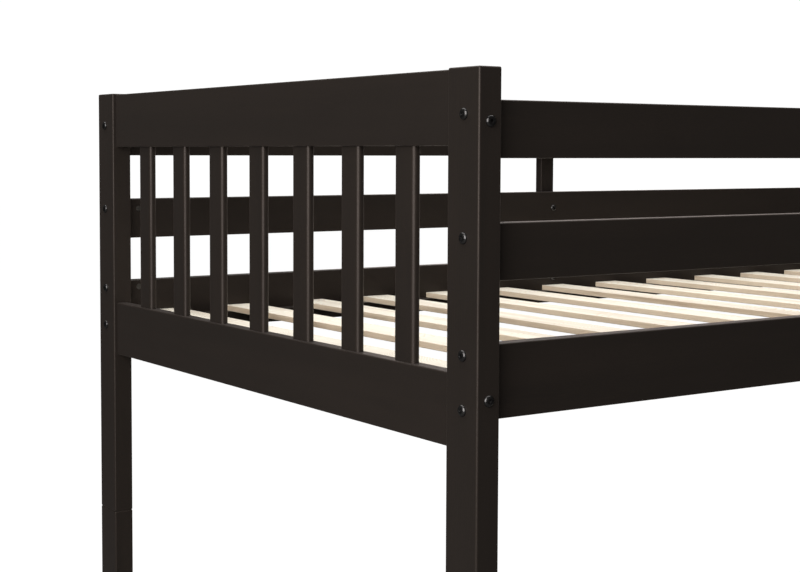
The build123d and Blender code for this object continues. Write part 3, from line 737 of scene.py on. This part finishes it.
def mark_surfaces(mesh: bpy.types.Mesh, seed: float | None) -> None:
    """Smooth a mesh between its sharp edges and store what the finishes read.

    Args:
        mesh: Mesh to mark.
        seed: The board's seed, or None where it is stored already.
    """
    work = bmesh.new()
    work.from_mesh(mesh)
    work.normal_update()
    arris, upright = (work.faces.layers.float.new(name) for name in ("arris", "upright"))
    for face in work.faces:
        face.smooth = True
        face[arris] = 0.0 if max(map(abs, face.normal)) > FLAT_LIMIT else 1.0
        # upright: how far a face turns from level; the pine finish uses it to paint its sides tanner and
        # darker, partly as painted shade.
        face[upright] = 1.0 - abs(face.normal.z)
    for edge in work.edges:
        edge.smooth = len(edge.link_faces) == 2 and edge.calc_face_angle(0.0) < SHARP_TURN
    if seed is not None:
        layer = work.verts.layers.float.new("board_seed")
        for vert in work.verts:
            vert[layer] = seed
    work.to_mesh(mesh)
    work.free()


def baked(piece: bpy.types.Object) -> bpy.types.Object:
    """Turn an object's modifiers into its plain mesh and remove them.

    Args:
        piece: Object to bake.

    Returns:
        The same object.
    """
    graph = bpy.context.evaluated_depsgraph_get()
    result = bpy.data.meshes.new_from_object(
        piece.evaluated_get(graph), preserve_all_data_layers=True, depsgraph=graph)
    piece.modifiers.clear()
    piece.data = result
    return piece


def new_piece(name: str, mesh: bpy.types.Mesh) -> bpy.types.Object:
    """Link a mesh into the scene as an object at the origin.

    Args:
        name: Name of the piece.
        mesh: Its mesh.

    Returns:
        The new object.
    """
    piece = bpy.data.objects.new(name, mesh)
    bpy.context.scene.collection.objects.link(piece)
    return piece


def smooth_flats(piece: bpy.types.Object) -> bpy.types.Object:
    """Keep broad faces flat in shading while the narrow arrises between them stay round.

    Args:
        piece: Object whose normals are set.

    Returns:
        The same object, with its modifier baked.
    """
    weighted = piece.modifiers.new("face_weights", "WEIGHTED_NORMAL")
    weighted.mode = "FACE_AREA"
    weighted.weight = 100
    weighted.keep_sharp = True
    return baked(piece)


def seed_of(name: str) -> float:
    """A number between 0 and 1 that depends only on a name."""
    return sum(place * ord(letter) for place, letter in enumerate(name, start=3)) * GOLDEN_SHARE % 1.0


def declare(piece: bpy.types.Object, body: Body, slot: Slot, *nodes: str) -> None:
    """Attach a finished piece to the empty of its body and hide the CAD nodes that it replaces.

    Args:
        piece: The finished piece.
        body: Body that it moves with.
        slot: Material slot of the record; not used.
        *nodes: CAD nodes that it replaces.
    """
    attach(piece, body.value)
    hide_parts(*nodes)
    LOG.info("%s: %d faces on %s", piece.name, len(piece.data.polygons), body.value)


def cad_piece(node: str, material: bpy.types.Material, body: Body, slot: Slot) -> bpy.types.Object:
    """Finish one CAD node: join its facets, smooth its arrises and dress it.

    Args:
        node: Name of the CAD node, which the piece replaces.
        material: Finish of the piece.
        body: Body that it moves with.
        slot: Material slot of the record.

    Returns:
        The finished piece.
    """
    solid = merged_copy(node)
    mesh = bpy.data.meshes.new(f"{node}_finished")
    solid.to_mesh(mesh)
    solid.free()
    mark_surfaces(mesh, seed_of(node))
    mesh.materials.append(material)
    piece = smooth_flats(new_piece(f"{node}_finished", mesh))
    declare(piece, body, slot, node)
    return piece


# ---------------------------------------------------------------- geometry node trees
class SlatRowTree:
    """Geometry Nodes tree that makes a row of equal boards with rounded long edges."""

    INPUTS = [
        ("Count", "NodeSocketInt", 7), ("First", "NodeSocketVector", None),
        ("Step", "NodeSocketVector", None), ("Length", "NodeSocketFloat", 1.0),
        ("Width", "NodeSocketFloat", 0.05), ("Thickness", "NodeSocketFloat", 0.01),
        ("Ease", "NodeSocketFloat", 0.002), ("Ease Steps", "NodeSocketInt", 4),
        ("Turn", "NodeSocketVector", None), ("Seed", "NodeSocketInt", 1),
        ("Finish", "NodeSocketMaterial", None),
    ]

    def __init__(self) -> None:
        """Build the tree."""
        self.tree = new_group("GeometryNodeTree", "slat_row",
                              [("Geometry", "NodeSocketGeometry", None), *self.INPUTS],
                              [("Geometry", "NodeSocketGeometry")])
        wires = Wiring(self.tree)
        given = wires.add("NodeGroupInput").outputs
        line = wires.add("GeometryNodeMeshLine", mode="OFFSET")
        wires.feed(line, Count=given["Count"], Start_Location=given["First"], Offset=given["Step"])
        section = wires.add("GeometryNodeCurvePrimitiveQuadrilateral", mode="RECTANGLE")
        wires.feed(section, Width=given["Thickness"], Height=given["Width"])
        eased = wires.add("GeometryNodeFilletCurve")
        self._set_poly(eased)
        wires.feed(eased, Curve=section.outputs[0], Count=given["Ease Steps"], Radius=given["Ease"])
        half = wires.maths("MULTIPLY", given["Length"], 0.5)
        low, high = (wires.add("ShaderNodeCombineXYZ") for _ in range(2))
        wires.feed(high, Z=half)
        wires.feed(low, Z=wires.maths("MULTIPLY", half, -1.0))
        path = wires.add("GeometryNodeCurvePrimitiveLine", mode="POINTS")
        wires.feed(path, Start=low.outputs[0], End=high.outputs[0])
        board = wires.add("GeometryNodeCurveToMesh")
        wires.feed(board, Curve=path.outputs[0], Profile_Curve=eased.outputs[0], Fill_Caps=True)
        row = wires.add("GeometryNodeInstanceOnPoints")
        wires.feed(row, Points=line.outputs[0], Instance=board.outputs[0], Rotation=given["Turn"])
        chance = wires.add("FunctionNodeRandomValue", data_type="FLOAT")
        wires.feed(chance, Seed=given["Seed"])
        store = wires.add("GeometryNodeStoreNamedAttribute", data_type="FLOAT", domain="INSTANCE")
        wires.feed(store, Geometry=row.outputs[0], Name="board_seed", Value=chance.outputs[1])
        real = wires.add("GeometryNodeRealizeInstances")
        wires.feed(real, Geometry=store.outputs[0])
        dressed = wires.add("GeometryNodeSetMaterial")
        wires.feed(dressed, Geometry=real.outputs[0], Material=given["Finish"])
        wires.feed(wires.add("NodeGroupOutput"), Geometry=dressed.outputs[0])

    @staticmethod
    def _set_poly(fillet: bpy.types.Node) -> None:
        """Ask the fillet node for straight segments."""
        if hasattr(fillet, "mode"):
            fillet.mode = "POLY"
        else:
            fillet.inputs["Mode"].default_value = "Poly"

    def grow(self, name: str, **values: object) -> bpy.types.Object:
        """Make one row as a plain mesh object.

        Args:
            name: Name of the piece.
            **values: Inputs of the tree by name, with underscores for spaces.

        Returns:
            The row, with its modifier baked.
        """
        return grown(self.tree, name, bpy.data.meshes.new(name), values)


class FixingTree:
    """Geometry Nodes tree that sets one fastener on every point, turned along its own axis."""

    def __init__(self) -> None:
        """Build the tree."""
        self.tree = new_group(
            "GeometryNodeTree", "fixings",
            [("Geometry", "NodeSocketGeometry", None), ("Fixing", "NodeSocketObject", None),
             ("Seed", "NodeSocketInt", 1), ("Finish", "NodeSocketMaterial", None)],
            [("Geometry", "NodeSocketGeometry")])
        wires = Wiring(self.tree)
        given = wires.add("NodeGroupInput").outputs
        item = wires.add("GeometryNodeObjectInfo", transform_space="ORIGINAL")
        wires.feed(item, Object=given["Fixing"])
        into = wires.add("GeometryNodeInputNamedAttribute", data_type="FLOAT_VECTOR")
        wires.feed(into, Name="into")
        aim = wires.add("FunctionNodeAlignRotationToVector", axis="Z", pivot_axis="AUTO")
        wires.feed(aim, Vector=into.outputs[0])
        chance = wires.add("FunctionNodeRandomValue", data_type="FLOAT")
        wires.feed(chance, Max=math.tau, Seed=given["Seed"])
        twist = wires.add("FunctionNodeAxisAngleToRotation")
        wires.feed(twist, Axis=(0.0, 0.0, 1.0), Angle=chance.outputs[1])
        turned = wires.add("FunctionNodeRotateRotation", rotation_space="LOCAL")
        wires.feed(turned, Rotation=aim.outputs[0], Rotate_By=twist.outputs[0])
        row = wires.add("GeometryNodeInstanceOnPoints")
        wires.feed(row, Points=given["Geometry"], Instance=item.outputs["Geometry"],
                   Rotation=turned.outputs[0])
        real = wires.add("GeometryNodeRealizeInstances")
        wires.feed(real, Geometry=row.outputs[0])
        dressed = wires.add("GeometryNodeSetMaterial")
        wires.feed(dressed, Geometry=real.outputs[0], Material=given["Finish"])
        wires.feed(wires.add("NodeGroupOutput"), Geometry=dressed.outputs[0])

    def grow(self, name: str, points: bpy.types.Mesh, **values: object) -> bpy.types.Object:
        """Set fasteners on points and return them as one plain mesh object.

        Args:
            name: Name of the piece.
            points: Mesh of loose points with the vector attribute into.
            **values: Inputs of the tree by name.

        Returns:
            The fasteners, with their modifier baked.
        """
        return grown(self.tree, name, points, values)


def grown(tree: bpy.types.NodeTree, name: str, mesh: bpy.types.Mesh,
          values: dict[str, object]) -> bpy.types.Object:
    """Run a geometry tree on a mesh and keep its result.

    Args:
        tree: Geometry node tree.
        name: Name of the object.
        mesh: Mesh that the tree starts from.
        values: Inputs of the tree by name, with underscores for spaces.

    Returns:
        The object, with the tree's result as its plain mesh.
    """
    piece = new_piece(name, mesh)
    modifier = piece.modifiers.new(tree.name, "NODES")
    modifier.node_group = tree
    sockets = {item.name: item.identifier for item in tree.interface.items_tree if item.in_out == "INPUT"}
    for label, value in values.items():
        modifier[sockets[label.replace("_", " ")]] = value
    return baked(piece)


# ---------------------------------------------------------------- turned fasteners
Ring = tuple[Callable[[float], float], float]
RING_STEPS = 24


def round_ring(radius: float, z: float) -> Ring:
    """A circular ring of one radius at one height."""
    return (lambda angle: radius), z


def hexagon_ring(across_flats: float, z: float) -> Ring:
    """A hexagonal ring at one height."""
    sector = math.pi / 3
    return (lambda angle: across_flats / 2 / math.cos((angle + sector / 2) % sector - sector / 2)), z


def cross_ring(reach: float, waist: float, z: float) -> Ring:
    """A four-armed ring, as the recess of a wood screw."""
    arm_sharpness = 3
    return (lambda angle: waist + (reach - waist) * abs(math.cos(2 * angle)) ** arm_sharpness), z


def fluted_ring(radius: float, depth: float, z: float) -> Ring:
    """A ring with fine lengthwise flutes, as on a dowel."""
    return (lambda angle: radius - depth * (round(angle / math.tau * RING_STEPS) % 2)), z


def turned_mesh(name: str, rings: list[Ring]) -> bpy.types.Mesh:
    """Skin a stack of rings into a closed solid, capped at both ends.

    Args:
        name: Name of the mesh.
        rings: Rings in order from one end's middle to the other's.

    Returns:
        The closed mesh, facing outwards.
    """
    solid = bmesh.new()
    loops = []
    angles = [math.tau * index / RING_STEPS for index in range(RING_STEPS)]
    for radius_at, z in rings:
        spokes = [(radius_at(angle), angle) for angle in angles]
        loops.append([solid.verts.new((r * math.cos(angle), r * math.sin(angle), z)) for r, angle in spokes])
    for loop, after in zip(loops, loops[1:]):
        for index in range(RING_STEPS):
            beside = (index + 1) % RING_STEPS
            solid.faces.new((loop[index], loop[beside], after[beside], after[index]))
    solid.faces.new(loops[0])
    solid.faces.new(reversed(loops[-1]))
    bmesh.ops.recalc_face_normals(solid, faces=solid.faces)
    mesh = bpy.data.meshes.new(name)
    solid.to_mesh(mesh)
    solid.free()
    return mesh


@dataclass(frozen=True)
class ButtonBolt:
    """Button-head bolt: domed head, hexagon socket and plain shank; its seat is at zero."""

    head_radius: float = 7.0 * MM
    head_height: float = 3.4 * MM
    crown_radius: float = 3.2 * MM
    shank_radius: float = 3.0 * MM
    socket_across: float = 4.0 * MM
    socket_depth: float = 2.2 * MM
    rim_height: float = 0.55 * MM
    socket_taper: float = 0.96
    socket_mouth: float = 0.62
    socket_chamfer: float = 0.20 * MM
    edge_ease: float = 0.15 * MM
    tip_length: float = 0.8 * MM
    tip_taper: float = 0.7 * MM
    dome_steps: int = 6

    def mesh(self, length: float) -> bpy.types.Mesh:
        """Turn the bolt.

        Args:
            length: Length under the head.

        Returns:
            The bolt along Z, its head on the negative side.
        """
        crown = -self.head_height
        floor = crown + self.socket_depth
        rings = [
            hexagon_ring(self.socket_taper * self.socket_across, floor),
            hexagon_ring(self.socket_across, crown + self.socket_chamfer),
            round_ring(self.socket_mouth * self.socket_across, crown),
            round_ring(self.crown_radius, crown),
        ]
        for step in range(1, self.dome_steps + 1):
            turn = math.pi / 2 * step / self.dome_steps
            radius = self.crown_radius + (self.head_radius - self.crown_radius) * math.sin(turn)
            height = crown + (self.head_height - self.rim_height) * (1.0 - math.cos(turn))
            rings.append(round_ring(radius, height))
        rings += [
            round_ring(self.head_radius, -self.edge_ease),
            round_ring(self.head_radius - self.edge_ease, 0.0),
            round_ring(self.shank_radius, 0.0),
            round_ring(self.shank_radius, length - self.tip_length),
            round_ring(self.shank_radius - self.tip_taper, length),
        ]
        return turned_mesh("button_bolt", rings)


@dataclass(frozen=True)
class WoodScrew:
    """Countersunk wood screw with a cross recess; the head's face is at zero."""

    head_radius: float = 3.8 * MM
    head_height: float = 2.4 * MM
    shank_radius: float = 1.75 * MM
    thread_pitch: float = 3.2 * MM
    root_share: float = 0.72
    tip_radius: float = 0.1 * MM
    recess_reach: float = 2.2 * MM
    recess_waist: float = 0.55 * MM
    recess_floor_reach: float = 1.3 * MM
    recess_floor_waist: float = 0.35 * MM
    recess_depth: float = 1.5 * MM

    def mesh(self, length: float) -> bpy.types.Mesh:
        """Turn the screw.

        Args:
            length: Whole length of the screw.

        Returns:
            The screw along Z, its point on the positive side.
        """
        rings = [
            cross_ring(self.recess_floor_reach, self.recess_floor_waist, self.recess_depth),
            cross_ring(self.recess_reach, self.recess_waist, 0.0),
            round_ring(self.head_radius, 0.0),
            round_ring(self.shank_radius, self.head_height),
        ]
        root = self.root_share * self.shank_radius
        z = self.head_height + self.thread_pitch
        while z < length - 2.0 * self.thread_pitch:
            rings += [round_ring(root, z), round_ring(self.shank_radius, z + self.thread_pitch / 2)]
            z += self.thread_pitch
        rings += [round_ring(root, length - self.thread_pitch), round_ring(self.tip_radius, length)]
        return turned_mesh("wood_screw", rings)


@dataclass(frozen=True)
class FlutedDowel:
    """Glued hardwood dowel with lengthwise flutes and eased ends; its middle is at zero."""

    radius: float = 4.0 * MM
    flute: float = 0.25 * MM
    end_ease: float = 0.8 * MM

    def mesh(self, length: float) -> bpy.types.Mesh:
        """Turn the dowel.

        Args:
            length: Whole length of the dowel.

        Returns:
            The dowel along Z.
        """
        half = length / 2
        rings = [
            round_ring(self.radius - self.end_ease, -half),
            fluted_ring(self.radius, self.flute, self.end_ease - half),
            fluted_ring(self.radius, self.flute, half - self.end_ease),
            round_ring(self.radius - self.end_ease, half),
        ]
        return turned_mesh("fluted_dowel", rings)


@dataclass
class FixingPlaces:
    """Where the fasteners of one CAD node sit, read from its solids."""

    node: str
    seats: list[Vector] = field(default_factory=list)
    middles: list[Vector] = field(default_factory=list)
    into: list[Vector] = field(default_factory=list)
    length: float = 0.0
    head_share: float = 0.75

    def __post_init__(self) -> None:
        """Read each solid's axis, head and length."""
        solid = merged_copy(self.node)
        for island in islands(solid):
            self._read(island)
        solid.free()

    def _read(self, island: list[bmesh.types.BMVert]) -> None:
        """Add one fastener.

        Args:
            island: Vertices of its solid.
        """
        middle = centre_of(island)
        spread = [max(abs(vert.co[axis] - middle[axis]) for vert in island) for axis in range(3)]
        along = spread.index(max(spread))
        axis = Vector([float(index == along) for index in range(3)])
        radii = {vert: ((vert.co - middle) - axis * (vert.co - middle)[along]).length for vert in island}
        head_radius = self.head_share * max(radii.values())
        wide = [vert.co[along] for vert, radius in radii.items() if radius > head_radius]
        sign = 1.0 if sum(wide) / len(wide) < middle[along] else -1.0
        seat = middle.copy()
        seat[along] = max(wide) if sign > 0 else min(wide)
        tip = middle[along] + sign * spread[along]
        self.seats.append(seat)
        self.middles.append(middle)
        self.into.append(axis * sign)
        self.length = abs(tip - seat[along])

    def points(self, from_middle: bool) -> bpy.types.Mesh:
        """Loose points with the direction of each fastener.

        Args:
            from_middle: Whether the points are the fasteners' middles, not their seats.

        Returns:
            A mesh of loose points with the vector attribute into.
        """
        mesh = bpy.data.meshes.new(f"{self.node}_points")
        mesh.from_pydata(self.middles if from_middle else self.seats, [], [])
        layer = mesh.attributes.new("into", "FLOAT_VECTOR", "POINT")
        for item, direction in zip(layer.data, self.into):
            item.vector = direction
        return mesh


# ---------------------------------------------------------------- sub-assemblies
LYING_ACROSS = Matrix(((0.0, 1.0, 0.0), (0.0, 0.0, 1.0), (1.0, 0.0, 0.0)))


@dataclass
class Workshop:
    """Tools that every sub-assembly shares."""

    finishes: Finishes = field(default_factory=Finishes)
    slat_rows: SlatRowTree = field(default_factory=SlatRowTree)
    fixings: FixingTree = field(default_factory=FixingTree)
    twist_seed: int = 7

    def board(self, node: str, grain: Grain, body: Body) -> bpy.types.Object:
        """Finish one espresso board.

        Args:
            node: CAD node of the board.
            grain: Direction of its grain.
            body: Body that it moves with.

        Returns:
            The finished board.
        """
        return cad_piece(node, self.finishes.espresso[grain], body, Slot.ESPRESSO)

    def fasten(self, node: str, item: ButtonBolt | WoodScrew | FlutedDowel, body: Body) -> bpy.types.Object:
        """Set turned fasteners where a CAD node has them.

        Args:
            node: CAD node of the fasteners.
            item: Pattern that the fasteners are turned from.
            body: Body that they move with.

        Returns:
            The fasteners as one piece.
        """
        places = FixingPlaces(node)
        whole = isinstance(item, FlutedDowel)
        length = 2 * (places.middles[0] - places.seats[0]).length if whole else places.length
        pattern = new_piece("fixing_pattern", item.mesh(length))
        finish, slot = {
            ButtonBolt: (self.finishes.oxide, Slot.BOLTS),
            WoodScrew: (self.finishes.zinc, Slot.ZINC),
            FlutedDowel: (self.finishes.beech, Slot.BEECH),
        }[type(item)]
        piece = self.fixings.grow(
            f"{node}_turned", places.points(whole), Fixing=pattern, Seed=self.twist_seed, Finish=finish)
        bpy.data.objects.remove(pattern)
        mark_surfaces(piece.data, seed_of(node))
        smooth_flats(piece)
        declare(piece, body, slot, node)
        return piece


@dataclass
class EndPanel:
    """Slatted panel at one end of a bunk: two rails and seven upright slats."""

    body: Body
    bunk: str
    end: str
    slat_count: int = 7
    slat_width: float = 42.0 * MM
    slat_ease: float = 5.0 * MM

    def build(self, shop: Workshop) -> None:
        """Make the rails and the row of slats.

        Args:
            shop: Shared tools.
        """
        for level in ("top", "bottom"):
            shop.board(f"{self.bunk}_end_{level}_rail_{self.end}", Grain.ALONG_WIDTH, self.body)
        node = f"{self.bunk}_end_slats_{self.end}"
        low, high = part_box(node)
        pitch = (high.y - low.y - self.slat_width) / (self.slat_count - 1)
        middle = (low + high) / 2
        row = shop.slat_rows.grow(
            f"{node}_row", Count=self.slat_count, First=(middle.x, low.y + self.slat_width / 2, middle.z),
            Step=(0.0, pitch, 0.0), Length=high.z - low.z, Width=self.slat_width, Thickness=high.x - low.x,
            Ease=self.slat_ease, Turn=(0.0, 0.0, 0.0), Seed=round(seed_of(node) * 1000),
            Finish=shop.finishes.espresso[Grain.ALONG_HEIGHT])
        mark_surfaces(row.data, None)
        declare(smooth_flats(row), self.body, Slot.ESPRESSO, node)


@dataclass
class SlattedBase:
    """Thirteen pine slats on two ledges."""

    body: Body
    bunk: str
    slat_count: int = 13
    slat_width: float = 58.0 * MM
    slat_ease: float = 1.0 * MM

    def build(self, shop: Workshop) -> None:
        """Make the ledges and the row of slats.

        Args:
            shop: Shared tools.
        """
        for side in ("front", "back"):
            shop.board(f"{self.bunk}_slat_ledge_{side}", Grain.ALONG_LENGTH, self.body)
        node = f"{self.bunk}_bed_slats"
        low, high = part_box(node)
        pitch = (high.x - low.x - self.slat_width) / (self.slat_count - 1)
        middle = (low + high) / 2
        row = shop.slat_rows.grow(
            f"{node}_row", Count=self.slat_count, First=(low.x + self.slat_width / 2, middle.y, middle.z),
            Step=(pitch, 0.0, 0.0), Length=high.y - low.y, Width=self.slat_width, Thickness=high.z - low.z,
            Ease=self.slat_ease, Turn=LYING_ACROSS.to_euler()[:], Seed=round(seed_of(node) * 1000),
            Finish=shop.finishes.pine)
        mark_surfaces(row.data, None)
        declare(smooth_flats(row), self.body, Slot.PINE, node)


@dataclass
class Bunk:
    """One bunk: posts, bed rails, end panels, slatted base and their fasteners."""

    body: Body
    name: str

    def build(self, shop: Workshop) -> None:
        """Make every piece that both bunks have.

        Args:
            shop: Shared tools.
        """
        for side in ("front", "back"):
            shop.board(f"{self.name}_bed_rail_{side}", Grain.ALONG_LENGTH, self.body)
            for end in ("left", "right"):
                shop.board(f"{self.name}_post_{side}_{end}", Grain.ALONG_HEIGHT, self.body)
        for end in ("left", "right"):
            EndPanel(self.body, self.name, end).build(shop)
        SlattedBase(self.body, self.name).build(shop)
        for group in ("side_rail_bolts", "end_rail_bolts"):
            shop.fasten(f"{self.name}_{group}", ButtonBolt(), self.body)
        shop.fasten(f"{self.name}_rail_dowels", FlutedDowel(), self.body)
        shop.fasten(f"{self.name}_base_screws", WoodScrew(), self.body)
        cad_piece(f"{self.name}_barrel_nuts", shop.finishes.zinc, self.body, Slot.ZINC)


@dataclass
class GuardRails:
    """Guard rails of the upper bunk and the stiles outside them."""

    body: Body = Body.UPPER

    def build(self, shop: Workshop) -> None:
        """Make the rails, the stiles and the stile bolts.

        Args:
            shop: Shared tools.
        """
        for side in ("front", "back"):
            for level in ("high", "low"):
                shop.board(f"guard_rail_{level}_{side}", Grain.ALONG_LENGTH, self.body)
        for stile in ("back", "front", "ladder"):
            shop.board(f"guard_stile_{stile}", Grain.ALONG_HEIGHT, self.body)
        shop.fasten("guard_stile_bolts", ButtonBolt(), self.body)


@dataclass
class Ladder:
    """Straight ladder that hooks over the front bed rail."""

    body: Body = Body.LADDER
    rung_count: int = 4

    def build(self, shop: Workshop) -> None:
        """Make the stiles, rungs, hooks and fasteners.

        Args:
            shop: Shared tools.
        """
        for hand in ("left", "right"):
            shop.board(f"ladder_stile_{hand}", Grain.ALONG_HEIGHT, self.body)
        for index in range(1, self.rung_count + 1):
            shop.board(f"ladder_rung_{index}", Grain.ALONG_LENGTH, self.body)
        cad_piece("ladder_hooks", shop.finishes.powder, self.body, Slot.STEEL)
        cad_piece("ladder_rung_nuts", shop.finishes.zinc, self.body, Slot.ZINC)
        shop.fasten("ladder_hook_screws", WoodScrew(), self.body)
        shop.fasten("ladder_rung_bolts", ButtonBolt(), self.body)
        shop.fasten("ladder_rung_dowels", FlutedDowel(), self.body)


# ---------------------------------------------------------------- studio
@dataclass(frozen=True)
class Softbox:
    """A soft rectangular light that faces a point."""

    name: str
    place: tuple[float, float, float]
    aim: tuple[float, float, float]
    width: float
    height: float
    power: float
    tint: Colour

    def hang(self) -> None:
        """Put the light into the scene."""
        light = bpy.data.lights.new(self.name, "AREA")
        light.shape = "RECTANGLE"
        light.size = self.width
        light.size_y = self.height
        light.energy = self.power
        light.color = self.tint
        lamp = bpy.data.objects.new(self.name, light)
        lamp.location = self.place
        towards = Vector(self.aim) - Vector(self.place)
        lamp.rotation_euler = towards.to_track_quat("-Z", "Y").to_euler()
        bpy.context.scene.collection.objects.link(lamp)


LIGHT_TINT = (1.0, 0.975, 0.955)
BACKDROP_TINT = (1.0, 0.84, 0.77)
SOFTBOXES = (
    Softbox("overhead", (0.0, 0.8, 4.2), (0.0, 0.6, 1.0), 5.0, 4.5, 195.0, LIGHT_TINT),
    Softbox("key", (-3.55, -1.95, 2.2), (-0.8, -0.2, 1.2), 3.4, 3.0, 190.0, LIGHT_TINT),
    Softbox("backdrop", (5.2, 4.6, 1.9), (0.0, 0.0, 1.2), 5.5, 2.6, 62.0, BACKDROP_TINT),
)


@dataclass
class Studio:
    """Pale floor, white surroundings, soft lights and the camera."""

    floor_half: float = 40.0
    floor_tone: Colour = (0.10, 0.10, 0.10)
    near_glow: float = 0.72
    far_glow: float = 1.0
    glow_start: float = 1.3
    glow_end: float = 2.3
    floor_roughness: float = 0.85
    surround_seen: float = 1.05
    surround_light: float = 0.05
    lens: float = 66.4
    eye_from_corner: Vector = field(default_factory=lambda: Vector((-1.0326, -1.3249, -0.0984)))
    heading: float = math.radians(-33.53)
    dip: float = math.radians(3.25)
    lean: float = math.radians(0.154)
    shift: tuple[float, float] = (0.0438, -0.0625)

    def build(self) -> None:
        """Set up everything that isn't the bed."""
        self._floor()
        self._surroundings()
        for softbox in SOFTBOXES:
            softbox.hang()
        self._camera()

    def _floor(self) -> None:
        """Lay the floor."""
        half = self.floor_half
        mesh = bpy.data.meshes.new("studio_floor")
        corners = [(-half, -half, 0.0), (half, -half, 0.0), (half, half, 0.0), (-half, half, 0.0)]
        mesh.from_pydata(corners, [], [(0, 1, 2, 3)])
        material, wires, shader = new_material("pale_floor")
        wires.feed(shader, Base_Color=opaque(self.floor_tone), Roughness=self.floor_roughness,
                   Specular_IOR_Level=0.0)
        seen = wires.add("ShaderNodeLightPath").outputs["Is Camera Ray"]
        reach = wires.add("ShaderNodeVectorMath", operation="LENGTH")
        wires.join(wires.add("ShaderNodeTexCoord").outputs["Object"], reach.inputs[0])
        glow = wires.remap(
            reach.outputs["Value"], self.glow_start, self.glow_end, self.near_glow, self.far_glow)
        wires.feed(shader, Emission_Color=(1.0, 1.0, 1.0, 1.0))
        wires.feed(shader, Emission_Strength=wires.maths("MULTIPLY", seen, glow))
        mesh.materials.append(material)
        new_piece("studio_floor", mesh)

    def _surroundings(self) -> None:
        """Light the bed softly from all round, against a white background."""
        world = bpy.data.worlds.new("studio")
        bpy.context.scene.world = world
        world.use_nodes = True
        wires = Wiring(world.node_tree)
        seen = wires.add("ShaderNodeLightPath").outputs["Is Camera Ray"]
        level = wires.scaled(seen, self.surround_seen - self.surround_light, self.surround_light)
        sky = wires.add("ShaderNodeBackground")
        tint = wires.blend(seen, LIGHT_TINT, (1.0, 1.0, 1.0))
        wires.feed(sky, Color=tint, Strength=level)
        wires.feed(wires.add("ShaderNodeOutputWorld"), Surface=sky.outputs[0])
        bpy.context.scene.view_settings.view_transform = "Standard"

    def _camera(self) -> None:
        """Stand the camera at the corner of the upper bunk."""
        lens = bpy.data.cameras.new("camera")
        lens.lens = self.lens
        lens.shift_x, lens.shift_y = self.shift
        camera = bpy.data.objects.new("camera", lens)
        low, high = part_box("upper_post_front_left")
        camera.matrix_world = (
            Matrix.Translation(Vector((low.x, low.y, high.z)) + self.eye_from_corner)
            @ Matrix.Rotation(self.heading, 4, "Z")
            @ Matrix.Rotation(math.pi / 2 - self.dip, 4, "X")
            @ Matrix.Rotation(self.lean, 4, "Z"))
        bpy.context.scene.collection.objects.link(camera)
        bpy.context.scene.camera = camera


def main() -> None:
    """Build the bed, then the studio."""
    logging.basicConfig(level=logging.INFO, format="%(message)s")
    shop = Workshop()
    Bunk(Body.LOWER, "lower").build(shop)
    cad_piece("stacking_pins", shop.finishes.powder, Body.LOWER, Slot.STEEL)
    Bunk(Body.UPPER, "upper").build(shop)
    GuardRails().build(shop)
    Ladder().build(shop)
    Studio().build()


if __name__ == "__main__":
    main()
